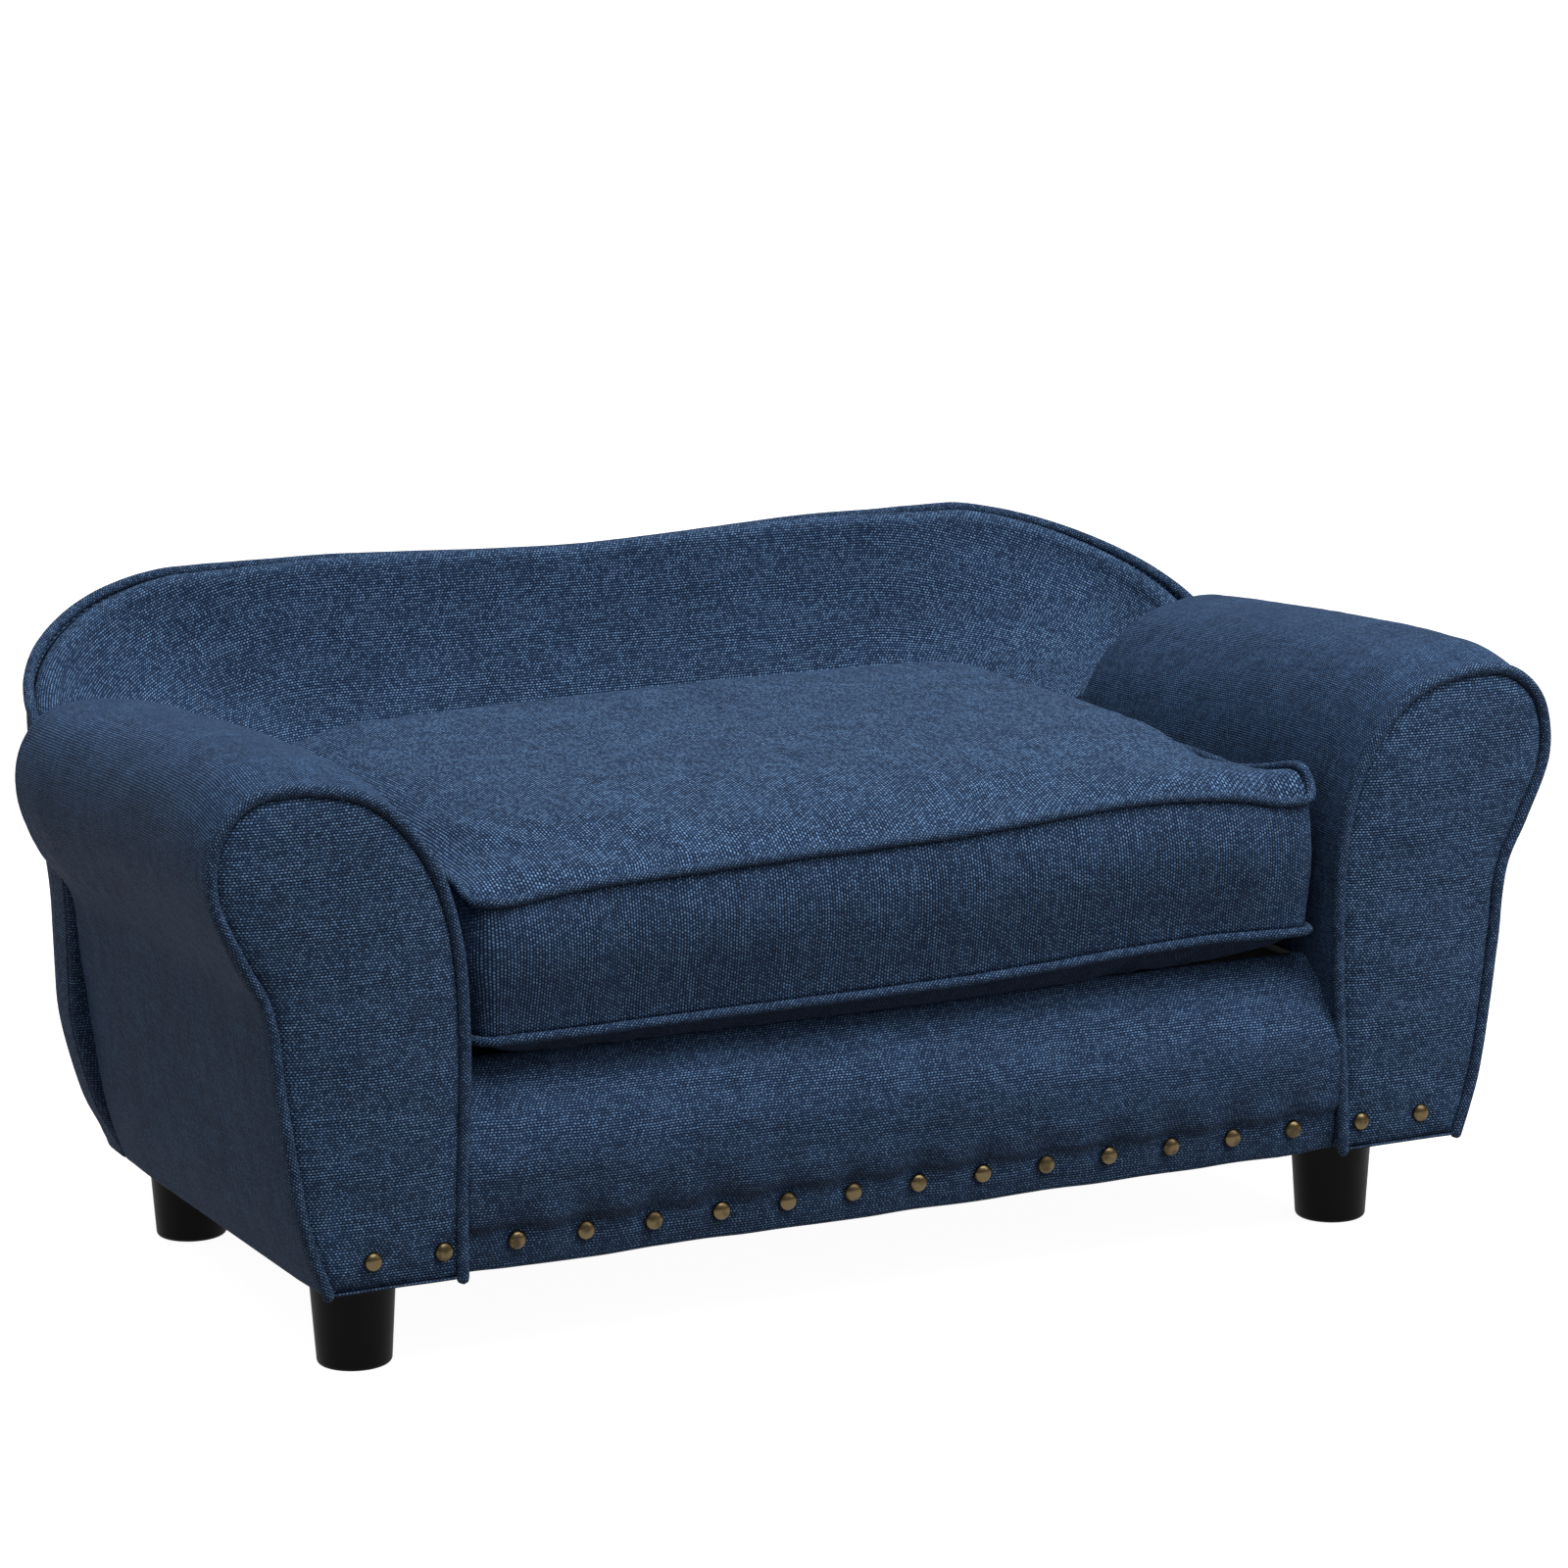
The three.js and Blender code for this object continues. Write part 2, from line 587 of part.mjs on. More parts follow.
function buildCushion() {
  const swell = (share) => (1 - share ** 2) ** 0.8;
  const lowFace = (drop) => (share) => CUSHION_LOW - drop - CROWN.bottom * swell(share);
  const highFace = (rise) => (share) => CUSHION_HIGH + rise + CROWN.top * swell(share);
  const inside = 2 * WELT + GAP;
  const boxingLow = CUSHION_LOW + WELT + GAP;
  const boxingHigh = CUSHION_HIGH - WELT - GAP;
  const middle = (CUSHION_LOW + CUSHION_HIGH) / 2;
  const boxingRear = CUSHION.rear - 1.8;
  const window = block([-150, boxingRear - 4, middle - 8], [150, boxingRear + 4, middle + 8]);

  addPiece('cushion_foam', crownedSlab(cushionOutline(inside), lowFace(-GAP), highFace(-GAP)), 'foam');
  addPiece('cushion_top', crownedSlab(cushionOutline(inside), highFace(0), highFace(FABRIC)), 'fabric');
  addPiece('cushion_bottom', crownedSlab(cushionOutline(inside), lowFace(FABRIC), lowFace(0)), 'fabric');
  addPiece('cushion_boxing', subtract(ringAround(1.8, FABRIC, boxingLow, boxingHigh), [window]), 'fabric');
  const tape = block([-149.5, boxingRear - 1.4, middle - 7.6], [149.5, boxingRear - 0.2, middle + 7.6]);
  addPiece('zipper_tape', tape, 'lining');
  const pull = block([-146, boxingRear, middle - 4], [-134, boxingRear + 2, middle + 4]);
  addPiece('zipper_slider', pull, 'zinc');
  for (const [name, z] of [['lower', CUSHION_LOW], ['upper', CUSHION_HIGH]]) {
    const path = cushionOutline(WELT).map((point) => new THREE.Vector3(point.x, point.y, z));
    addPiece(`cushion_welt_${name}`, cord(path, WELT, new THREE.Vector3(0, 0, 1), true), 'welt');
  }
}

// ---- feet and nails ----

function buildFeet() {
  const [low, high] = FOOT_RADII;
  const profile = [[0, 0], [low - 1.2, 0], [low - 0.3, 0.5], [low, 1.6], [high, FOOT_HEIGHT - 1.5],
    [high - 1.2, FOOT_HEIGHT], [STUD, FOOT_HEIGHT], [STUD, SLAB_TOP + 3], [0, SLAB_TOP + 3]];
  for (const [side, across] of [[-1, 'left'], [1, 'right']]) {
    FOOT_YS.forEach((y, i) => {
      const foot = new THREE.LatheGeometry(profile.map(([r, z]) => new THREE.Vector2(r, z)), 20);
      foot.rotateX(Math.PI / 2);
      foot.translate(side * FOOT_X, y, 0);
      addPiece(`foot_${['front', 'rear'][i]}_${across}`, foot, 'plastic');
    });
  }
}

function buildNails() {
  const dome = Array.from({ length: 4 }, (_, i) => {
    const angle = (i / 3) * (Math.PI / 2);
    return new THREE.Vector2(NAIL_HEAD * Math.sin(angle), 2.5 * Math.cos(angle));
  });
  const shank = [new THREE.Vector2(0, -11), new THREE.Vector2(0.8, -9), new THREE.Vector2(0.8, 0)];
  const profile = [...shank, ...dome.reverse()];
  const arms = ARM_NAILS.flatMap((x) => [[-x, FRONT], [x, FRONT]]);
  const base = BASE_NAILS.map((x) => [x, apronFace(NAIL_Z) - 0.2]);
  const places = [...arms, ...base].sort((a, b) => a[0] - b[0]);
  places.forEach(([x, y], i) => {
    const nail = new THREE.LatheGeometry(profile, 8);
    nail.rotateZ(Math.PI);
    nail.translate(x, y - GAP, NAIL_Z);
    addPiece(`nail_${String(i + 1).padStart(2, '0')}`, nail, 'brass');
  });
}

buildBase();
buildFeet();
buildArm(-1, 'left');
buildArm(1, 'right');
buildBack();
buildCushion();
buildNails();

export default bed;
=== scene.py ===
"""Looks of a small upholstered sofa made as a dog bed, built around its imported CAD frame.

Shapes are worked out in millimetres in the frame's own axes (+Z up, the front faces -Y) and become
metres when a mesh is made. Every cloth surface carries a UV map in metres along its threads.
"""

import json
import math

import bmesh
import bpy
import numpy as np
from mathutils import Matrix, Vector, noise
from mathutils.geometry import delaunay_2d_cdt

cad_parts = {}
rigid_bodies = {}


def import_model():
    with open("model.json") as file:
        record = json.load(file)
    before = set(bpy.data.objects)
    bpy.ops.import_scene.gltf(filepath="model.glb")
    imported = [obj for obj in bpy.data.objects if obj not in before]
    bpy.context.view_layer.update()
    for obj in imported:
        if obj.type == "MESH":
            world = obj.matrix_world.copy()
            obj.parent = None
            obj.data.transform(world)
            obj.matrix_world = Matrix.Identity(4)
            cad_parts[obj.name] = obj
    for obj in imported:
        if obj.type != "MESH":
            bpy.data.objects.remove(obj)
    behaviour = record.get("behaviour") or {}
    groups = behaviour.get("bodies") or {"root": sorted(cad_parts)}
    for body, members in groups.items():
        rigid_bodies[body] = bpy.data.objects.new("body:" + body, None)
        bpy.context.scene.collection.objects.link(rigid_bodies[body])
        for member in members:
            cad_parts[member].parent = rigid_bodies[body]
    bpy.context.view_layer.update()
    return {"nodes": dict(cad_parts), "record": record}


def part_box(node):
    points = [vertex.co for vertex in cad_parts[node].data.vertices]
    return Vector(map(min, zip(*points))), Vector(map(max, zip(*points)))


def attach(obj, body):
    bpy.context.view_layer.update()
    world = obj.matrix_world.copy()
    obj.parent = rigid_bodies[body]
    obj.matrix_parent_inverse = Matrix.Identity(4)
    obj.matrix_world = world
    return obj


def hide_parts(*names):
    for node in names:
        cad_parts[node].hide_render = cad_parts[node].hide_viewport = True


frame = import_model()

MM = 0.001
SIDES = {"left": -1, "right": 1}

# ---- sizes, in millimetres ----

FRONT = -224.0  # face of the arm front panels
REAR = 227.0  # outer line of the back, at its rim
BACK_TOP = 346.0  # top of the welt along the middle of the back
SEAT_LINE = 250.0  # height where the back starts to flare out to its rim
HEM = 58.0  # lower edge of the covers
WELT = 3.0  # radius of the welt cord
ARM_END = 88.0  # rear end of the arms
SEAT_BASE = 159.3  # lower edge of the back's inner cover
DECK_TOP = 158.8  # top of the lining that the cushion lies on
DECK_HALF = 244.0  # half width of that lining
APRON_HALF = (248.2, 245.2)  # half width of the base's front, low down and at its top

ARM_SKIN = 5.4  # how far the arm cover stands outside the front panel's edge
ARM_FOAM = (2.0, 15.0)  # depths of the foam's outer and inner skins below the cover's outer face
PANEL_BACK = FRONT + 2.5  # where a front panel's padding starts
PANEL_PADDING = 7.6  # and the most that it stands out
ROLL_RISE = 6.0  # the arm's roll stands higher behind its front panel
ROLL_FALL = 14.0  # and drops from there to the back
REAR_WIDENING = 4.0  # and is fuller on its outer side there
WELT_OUT = 3.2  # centre of a welt from the edge that it follows

CUSHION_HALF = 243.5
CUSHION_FRONT = -224.0  # its front and rear ends, welts included
CUSHION_REAR = 174.0
CUSHION_LOW = 177.0  # centre of the lower welt
CUSHION_HIGH = 252.0  # centre of the upper welt
CROWN_TOP = 20.0  # how far the stuffing lifts the top above its seam
CROWN_BOTTOM = 18.0
CUSHION_WELT = 2.6  # radius of its welts
CUSHION_CORNERS = (10.0, 73.0)  # radii of the seams' front and rear corners

# Thickness of each cover.
CLOTH = {"arm": 1.1, "rear": 1.1, "back": 1.0, "base": 1.2, "panel": 0.7, "hem": 0.6, "cushion": 0.9}
ZIP_TAPE = 0.7

NAIL_Z = 72.5  # height of the row of nails
NAIL_PITCH = 37.0
NAIL_ROW = 13
NAIL_HEAD = 5.0  # radius of a nail's head
NAIL_DOME = 3.0  # and the height of its dome
ARM_NAILS = (262.0, 299.0)
BASE_NAILS = [(i - (NAIL_ROW - 1) / 2) * NAIL_PITCH for i in range(NAIL_ROW)]

FOOT_HEIGHT = 54.0
FOOT_RADII = (19.2, 22.5)
FOOT_ROUND = 2.4  # radius of a foot's lower edge
STUD = 4.0  # radius of its threaded stud
STUD_TOP = 74.0
FOOT_X = 285.0
FOOT_YS = {"front": -155.0, "rear": 98.0}

# Edge of the arm front panel as (distance from the middle, height), from the outer hem, over the
# roll, down to the inner hem.
ARM_EDGE = [
    (319, HEM), (331, 97), (340, 160), (345, 202), (358, 230), (371, 261), (368, 289), (350, 305.5),
    (322, 306.5), (291, 296.5), (266, 267), (254, 228), (251, 172), (254, 97), (255, HEM),
]

# Front of the base as (y, z): up the padded face, round its top and back over the seat board.
APRON_EDGE = [
    (-218.5, HEM), (-220.8, 68), (-221.2, 77), (-224.6, 83), (-226.6, 94), (-227.2, 108),
    (-225.8, 120), (-220.8, 131.5), (-213.0, 141.5), (-203.6, 150.6), (-194, 158.9), (-188, 159.9),
]
HEM_SAG = 8.0  # how much lower the covers hang at the rear corners


# ---- small tools ----


def smoothstep(low, high, value):
    """0 up to the first limit, 1 past the second, and a smooth step between them, either way round."""
    t = np.clip((np.asarray(value, float) - low) / (high - low), 0, 1)
    return t * t * (3 - 2 * t)


def mix(a, b, share):
    return a + (b - a) * share


def unit(vectors):
    return vectors / np.maximum(np.linalg.norm(vectors, axis=-1, keepdims=True), 1e-9)


def wander(points, size, seed=0.0):
    """Smooth noise from about -1 to 1 at each point, the same each run; size is the width of its
    bumps in mm."""
    flat = np.asarray(points, float).reshape(-1, 3) / size + seed * 17.3
    values = [noise.noise(Vector(p)) for p in flat]
    return np.array(values).reshape(np.asarray(points).shape[:-1])


def spline(points, count):
    """Evenly spaced points on the uniform Catmull-Rom curve through a few points."""
    knots = np.array(points, float)
    last = len(knots) - 1
    t = np.linspace(0, last, 40 * last + 1)
    i = np.minimum(t.astype(int), last - 1)
    f = (t - i)[:, None]
    p0, p1 = knots[np.maximum(i - 1, 0)], knots[i]
    p2, p3 = knots[i + 1], knots[np.minimum(i + 2, last)]
    v0, v1 = (p2 - p0) / 2, (p3 - p1) / 2
    curve = (2 * p1 - 2 * p2 + v0 + v1) * f**3 + (3 * p2 - 3 * p1 - 2 * v0 - v1) * f**2 + v0 * f + p1
    return evenly(curve, count)


def lengths(points, closed=False):
    """Distance along a line of points, at each point (and back at the start if it is closed)."""
    line = np.vstack([points, points[:1]]) if closed else points
    steps = np.linalg.norm(np.diff(line, axis=0), axis=1)
    return np.concatenate([[0], np.cumsum(steps)])


def evenly(points, count, closed=False):
    """The same line with evenly spaced points."""
    points = np.asarray(points, float)
    along = lengths(points, closed)
    line = np.vstack([points, points[:1]]) if closed else points
    at = np.linspace(0, along[-1], count, endpoint=not closed)
    return np.stack([np.interp(at, along, line[:, k]) for k in range(line.shape[1])], axis=1)


def bezier(start, leave, arrive, end, count):
    """Rows of points from start towards end, leaving along one vector and arriving along another."""
    rows = []
    for t in np.linspace(0, 1, count)[:-1]:
        a, b, c, d = (1 - t) ** 3, 3 * t * (1 - t) ** 2, 3 * t * t * (1 - t), t**3
        rows.append(a * start + b * (start + leave) + c * (end - arrive) + d * end)
    return rows


def tangents(points, closed=False):
    """Unit vectors along a line of points."""
    if closed:
        return unit(np.roll(points, -1, 0) - np.roll(points, 1, 0))
    return unit(np.gradient(points, axis=0))


def normals(points, closed=False):
    """Unit normals of a flat line, to the right of its direction."""
    along = tangents(points, closed)
    return np.stack([along[:, 1], -along[:, 0]], axis=1)


# ---- meshes ----


def shade(mesh, smooth):
    mesh.polygons.foreach_set("use_smooth", [smooth] * len(mesh.polygons))


def make_piece(name, points, faces, uvs=None, smooth=True):
    """Object from points in mm; uvs has one (u, v) in metres for each face corner, in order."""
    mesh = bpy.data.meshes.new(name)
    mesh.from_pydata((np.asarray(points, float) * MM).tolist(), [], faces)
    if uvs is not None:
        layer = mesh.uv_layers.new(name="cloth")
        layer.data.foreach_set("uv", np.asarray(uvs, np.float32).ravel())
    shade(mesh, smooth)
    mesh.update()
    piece = bpy.data.objects.new(name, mesh)
    bpy.context.scene.collection.objects.link(piece)
    return piece


def net_piece(name, points, faces, flat):
    """Piece whose cloth lies as a flat net does: flat has each point's place on it, in mm."""
    corners = np.array([index for face in faces for index in face])
    return make_piece(name, points, faces, flat[corners] * MM)


def grid_faces(rows, columns, wrap=False):
    """Faces over a grid of points, and each face corner's place in a grid of UVs."""
    faces, corners = [], []
    steps = columns if wrap else columns - 1
    wide = columns + 1 if wrap else columns
    for i in range(rows - 1):
        for j in range(steps):
            k = (j + 1) % columns
            low, high = i * columns, (i + 1) * columns
            faces.append((low + j, low + k, high + k, high + j))
            start = i * wide + j
            corners += [start, start + 1, start + wide + 1, start + wide]
    return faces, corners


def surface(name, points, uv=None, wrap=False, flip=False):
    """Sheet through a grid of points. UVs follow the threads: lengths along rows and columns."""
    rows, columns = points.shape[:2]
    if uv is None:
        line = np.concatenate([points, points[:, :1]], axis=1) if wrap else points
        along = np.linalg.norm(np.diff(line, axis=1), axis=2).cumsum(axis=1)
        along = np.concatenate([np.zeros((rows, 1)), along], axis=1)
        along -= along[:, along.shape[1] // 2][:, None]
        up = np.linalg.norm(np.diff(line, axis=0), axis=2).cumsum(axis=0)
        up = np.concatenate([np.zeros((1, line.shape[1])), up], axis=0)
        uv = np.stack([along, up], axis=2)
    faces, corners = grid_faces(rows, columns, wrap)
    flat = uv.reshape(-1, 2)[corners] * MM
    if flip:
        faces = [face[::-1] for face in faces]
        flat = flat.reshape(-1, 4, 2)[:, ::-1].reshape(-1, 2)
    return make_piece(name, points.reshape(-1, 3), faces, flat)


def tube_points(path, radius, sides=12, closed=False, lumps=0.0, seed=0.0, up=(0, 0, 1)):
    """Rings of points round a path; lumps is how much the radius wanders."""
    along = tangents(path, closed)
    across = unit(np.cross(along, np.array(up, float)))
    over = np.cross(across, along)
    angle = np.linspace(0, 2 * math.pi, sides, endpoint=False)
    radii = radius * (1 + lumps * wander(path, 16, seed))[:, None, None]
    ring = np.cos(angle)[None, :, None] * across[:, None] + np.sin(angle)[None, :, None] * over[:, None]
    return path[:, None] + ring * radii


def make_cord(name, path, radius, closed=False, lumps=0.06, seed=0.0, up=(0, 0, 1), sides=12):
    """Round cord with closed ends. Its cloth is cut on the bias, so the UVs run at 45 degrees."""
    rings = tube_points(path, radius, sides, closed, lumps, seed, up)
    along = lengths(path, closed)
    around = np.linspace(0, 2 * math.pi * radius, sides + 1)
    if closed:
        rings = np.concatenate([rings, rings[:1]])
    else:
        along_end = tangents(path)
        caps = [path[0] - along_end[0] * radius * 0.5, path[-1] + along_end[-1] * radius * 0.5]
        first = mix(rings[:1], caps[0], 0.45) - along_end[0] * radius * 0.3
        last = mix(rings[-1:], caps[1], 0.45) + along_end[-1] * radius * 0.3
        tip = [np.repeat(caps[k][None, None], sides, 1) for k in (0, 1)]
        rings = np.concatenate([tip[0], first, rings, last, tip[1]])
        along = np.concatenate([[-4, -2], along, [along[-1] + 2, along[-1] + 4]])
    u, v = np.meshgrid(around, along)
    uv = np.stack([(u + v), (v - u)], axis=2) * math.sqrt(0.5)
    piece = surface(name, rings, uv, wrap=True)
    merge(piece, 0.01)
    return piece


def rework(piece, change):
    """Makes a change to the piece's mesh and turns all faces out."""
    mesh = bmesh.new()
    mesh.from_mesh(piece.data)
    change(mesh)
    bmesh.ops.recalc_face_normals(mesh, faces=mesh.faces)
    mesh.to_mesh(piece.data)
    mesh.free()


def merge(piece, distance):
    """Joins points closer than a distance in mm."""
    rework(piece, lambda mesh: bmesh.ops.remove_doubles(mesh, verts=mesh.verts, dist=distance * MM))
    shade(piece.data, True)


def close_holes(piece):
    def fill(mesh):
        bmesh.ops.holes_fill(mesh, edges=[edge for edge in mesh.edges if edge.is_boundary])

    rework(piece, fill)


def join(name, pieces):
    """One object from several; UV maps with the same name are kept."""
    for piece in bpy.context.scene.objects:
        piece.select_set(piece in pieces)
    bpy.context.view_layer.objects.active = pieces[0]
    bpy.ops.object.join()
    pieces[0].name = name
    pieces[0].data.name = name
    return pieces[0]


def apply_modifiers(piece):
    """Puts the evaluated mesh in place of the piece's own."""
    graph = bpy.context.evaluated_depsgraph_get()
    mesh = bpy.data.meshes.new_from_object(piece.evaluated_get(graph))
    piece.modifiers.clear()
    piece.data = mesh
    return piece


def thicken(piece, thickness):
    """Gives a sheet its thickness, inwards from its outer side."""
    solid = piece.modifiers.new("Thickness", "SOLIDIFY")
    solid.thickness = thickness * MM
    solid.offset = -1
    solid.use_even_offset = False
    solid.use_quality_normals = True
    return apply_modifiers(piece)


def face_towards(piece, direction):
    """Turns a sheet's faces so that on the whole they face a direction."""
    total = Vector()
    for polygon in piece.data.polygons:
        total += polygon.normal * polygon.area
    if total.dot(Vector(direction)) < 0:
        piece.data.flip_normals()


def cloth(name, points, direction, thickness):
    """Piece of cloth through a grid of points, its outer side facing a direction."""
    piece = surface(name, points)
    face_towards(piece, direction)
    return thicken(piece, thickness)


def polygon_net(outline, pitch, edge_rings=()):
    """Triangles over a closed outline: rings of points just inside it, then an even lattice.
    Returns the flat points, the faces, each point's distance from the outline, and which points
    are the outline's own."""
    outline = np.asarray(outline, float)
    following = np.roll(outline, -1, axis=0)
    twice_area = np.sum(outline[:, 0] * following[:, 1] - following[:, 0] * outline[:, 1])
    inward = -normals(outline, closed=True) * np.sign(twice_area)
    rings = [outline + inward * inset for inset in (0.0, *edge_rings)]
    inner = rings[-1]
    low, high = inner.min(0), inner.max(0)
    lattice = []
    for row, y in enumerate(np.arange(low[1], high[1], pitch * math.sqrt(3) / 2)):
        xs = np.arange(low[0] + (row % 2) * pitch / 2, high[0], pitch)
        lattice += [(x, y) for x in xs]
    lattice = np.array(lattice)
    lattice = lattice[(nearest(lattice, inner) > pitch * 0.55) & inside_outline(lattice, inner)]
    points = np.vstack([*rings, lattice])
    count = len(outline)
    border = [(i, (i + 1) % count) for i in range(count)]
    made = delaunay_2d_cdt([Vector(p) for p in points], border, [], 1, 1e-6)
    flat = np.array([tuple(p) for p in made[0]])
    faces = [tuple(face) for face in made[2]]
    place = {old: new for new, olds in enumerate(made[3]) for old in olds}
    return flat, faces, nearest(flat, outline), [place[i] for i in range(count)]


def nearest(points, line):
    """Distance from each point to the nearest point of a closed line."""
    dense = evenly(line, len(line) * 6, closed=True)
    result = np.empty(len(points))
    for start in range(0, len(points), 500):
        part = points[start : start + 500]
        result[start : start + 500] = np.sqrt(((part[:, None] - dense[None]) ** 2).sum(2).min(1))
    return result


def inside_outline(points, outline):
    """Which points lie inside a closed outline, by counting the edges on one side of each."""
    inside = np.zeros(len(points), bool)
    x, y = points[:, 0], points[:, 1]
    for (x0, y0), (x1, y1) in zip(outline, np.roll(outline, -1, 0)):
        crosses = (y0 > y) != (y1 > y)
        at = x0 + (y - y0) * (x1 - x0) / (y1 - y0 if y1 != y0 else 1e-9)
        inside ^= crosses & (x < at)
    return inside


# ---- materials ----


class Signal:
    """A value in a node tree; arithmetic on it adds the nodes that work it out."""

    def __init__(self, socket):
        self.socket = socket
        self.tree = socket.id_data

    def maths(self, operation, other=0.0):
        return node(self.tree, "ShaderNodeMath", {0: self, 1: other}, operation=operation)

    def clamped(self):
        self.socket.node.use_clamp = True
        return self

    def __add__(self, other):
        return self.maths("ADD", other)

    def __sub__(self, other):
        return self.maths("SUBTRACT", other)

    def __mul__(self, other):
        return self.maths("MULTIPLY", other)

    def __truediv__(self, other):
        return self.maths("DIVIDE", other)


def feed(socket, value):
    """Links a signal to a socket, or sets the socket to a constant."""
    if isinstance(value, Signal):
        socket.id_data.links.new(value.socket, socket)
    else:
        socket.default_value = value


def node(tree, kind, inputs=None, output=0, **settings):
    """Adds a node with its settings and inputs, and gives one of its outputs."""
    made = tree.nodes.new(kind)
    for key, value in settings.items():
        setattr(made, key, value)
    for key, value in (inputs or {}).items():
        feed(made.inputs[key], value)
    return Signal(made.outputs[output])


def spread(value, low, high, to_low=0.0, to_high=1.0):
    """Smooth step of a signal between two limits."""
    inputs = {0: value, 1: low, 2: high, 3: to_low, 4: to_high}
    return node(value.tree, "ShaderNodeMapRange", inputs, interpolation_type="SMOOTHSTEP")


def blend(share, a, b):
    """Colour a, or b where share is 1."""
    mixer = share.tree.nodes.new("ShaderNodeMix")
    mixer.data_type = "RGBA"
    for key, value in (("Factor", share), ("A", a), ("B", b)):
        feed(next(s for s in mixer.inputs if s.name == key and s.enabled), value)
    return Signal(next(s for s in mixer.outputs if s.enabled))


def new_material(name, roughness, **constants):
    """Material with a Principled shader; constants are set on the shader's own sockets."""
    material = bpy.data.materials.new(name)
    material.use_nodes = True
    shader = material.node_tree.nodes["Principled BSDF"]
    shader.inputs["Roughness"].default_value = roughness
    for key, value in constants.items():
        shader.inputs[key.replace("_", " ")].default_value = value
    return material, material.node_tree, shader


def rgb(red, green, blue):
    return (red, green, blue, 1.0)


def add_bump(shader, height, distance, strength=0.6):
    inputs = {"Height": height, "Distance": distance * MM, "Strength": strength}
    feed(shader.inputs["Normal"], node(height.tree, "ShaderNodeBump", inputs))


def object_noise(tree, scale, detail=3.0, stretch=(1, 1, 1)):
    """Noise in the piece's own space; scale is per metre."""
    place = node(tree, "ShaderNodeTexCoord", output="Object")
    moved = node(tree, "ShaderNodeMapping", {"Vector": place, "Scale": stretch})
    return node(tree, "ShaderNodeTexNoise", {"Vector": moved, "Scale": scale, "Detail": detail})


def cloth_noise(uv, scale, detail, roughness=0.5, output="Fac"):
    """Noise in the plane of the cloth; scale is per metre."""
    inputs = {"Vector": uv, "Scale": scale, "Detail": detail, "Roughness": roughness}
    return node(uv.tree, "ShaderNodeTexNoise", inputs, output, noise_dimensions="2D")


def chance_of(tree, dimensions, **inputs):
    """A value from 0 to 1 that jumps from one whole number, or one cell, to the next."""
    return node(tree, "ShaderNodeTexWhiteNoise", inputs, "Value", noise_dimensions=dimensions)


def cloth_coordinates(tree, pitch):
    """Thread numbers along u and v, bent a little as real threads are."""
    uv = node(tree, "ShaderNodeUVMap", uv_map="cloth")
    drift = cloth_noise(uv, 90.0, 1.0, output="Color")
    centred = node(tree, "ShaderNodeVectorMath", {0: drift, 1: (0.5, 0.5, 0.5)}, operation="SUBTRACT")
    scaled = node(tree, "ShaderNodeVectorMath", {0: centred, "Scale": WAVER * MM}, operation="SCALE")
    moved = node(tree, "ShaderNodeVectorMath", {0: uv, 1: scaled}, operation="ADD")
    across, up = (node(tree, "ShaderNodeSeparateXYZ", {0: moved}, axis) for axis in "XY")
    return uv, across / (pitch[0] * MM), up / (pitch[1] * MM)


def streaks(along, thread, seed):
    """A value that changes slowly along a thread and freely from one thread to the next."""
    inputs = {"X": along * STREAK_CHANGE, "Y": thread * 7.31, "Z": seed}
    place = node(along.tree, "ShaderNodeCombineXYZ", inputs)
    inputs = {"Vector": place, "Scale": 1.0, "Detail": 1.0}
    return node(along.tree, "ShaderNodeTexNoise", inputs, noise_dimensions="3D")


WAVER = 0.45  # how far the threads wander sideways, in mm
STREAK_CHANGE = 0.09  # how fast a thread's tone changes, per stitch
STREAK_GAIN = 2.2
CLOUDING = 0.4
DARK = rgb(0.004, 0.009, 0.023)
BODY = rgb(0.031, 0.070, 0.156)
# painted shade: darker body colour for the linen of the back, the base, the boxing and the welts
SHADED_BODY = rgb(0.026, 0.059, 0.135)
ARM_BODY = rgb(0.036, 0.080, 0.174)
# painted shade: near-black body colour for the cushion's underside
UNDERSIDE_PAINTED_SHADE_BODY = rgb(0.010, 0.022, 0.050)
FLECK = rgb(0.195, 0.36, 0.62)
ARM_FLECK = rgb(0.115, 0.225, 0.41)
WELT_FLECK = rgb(0.17, 0.30, 0.50)


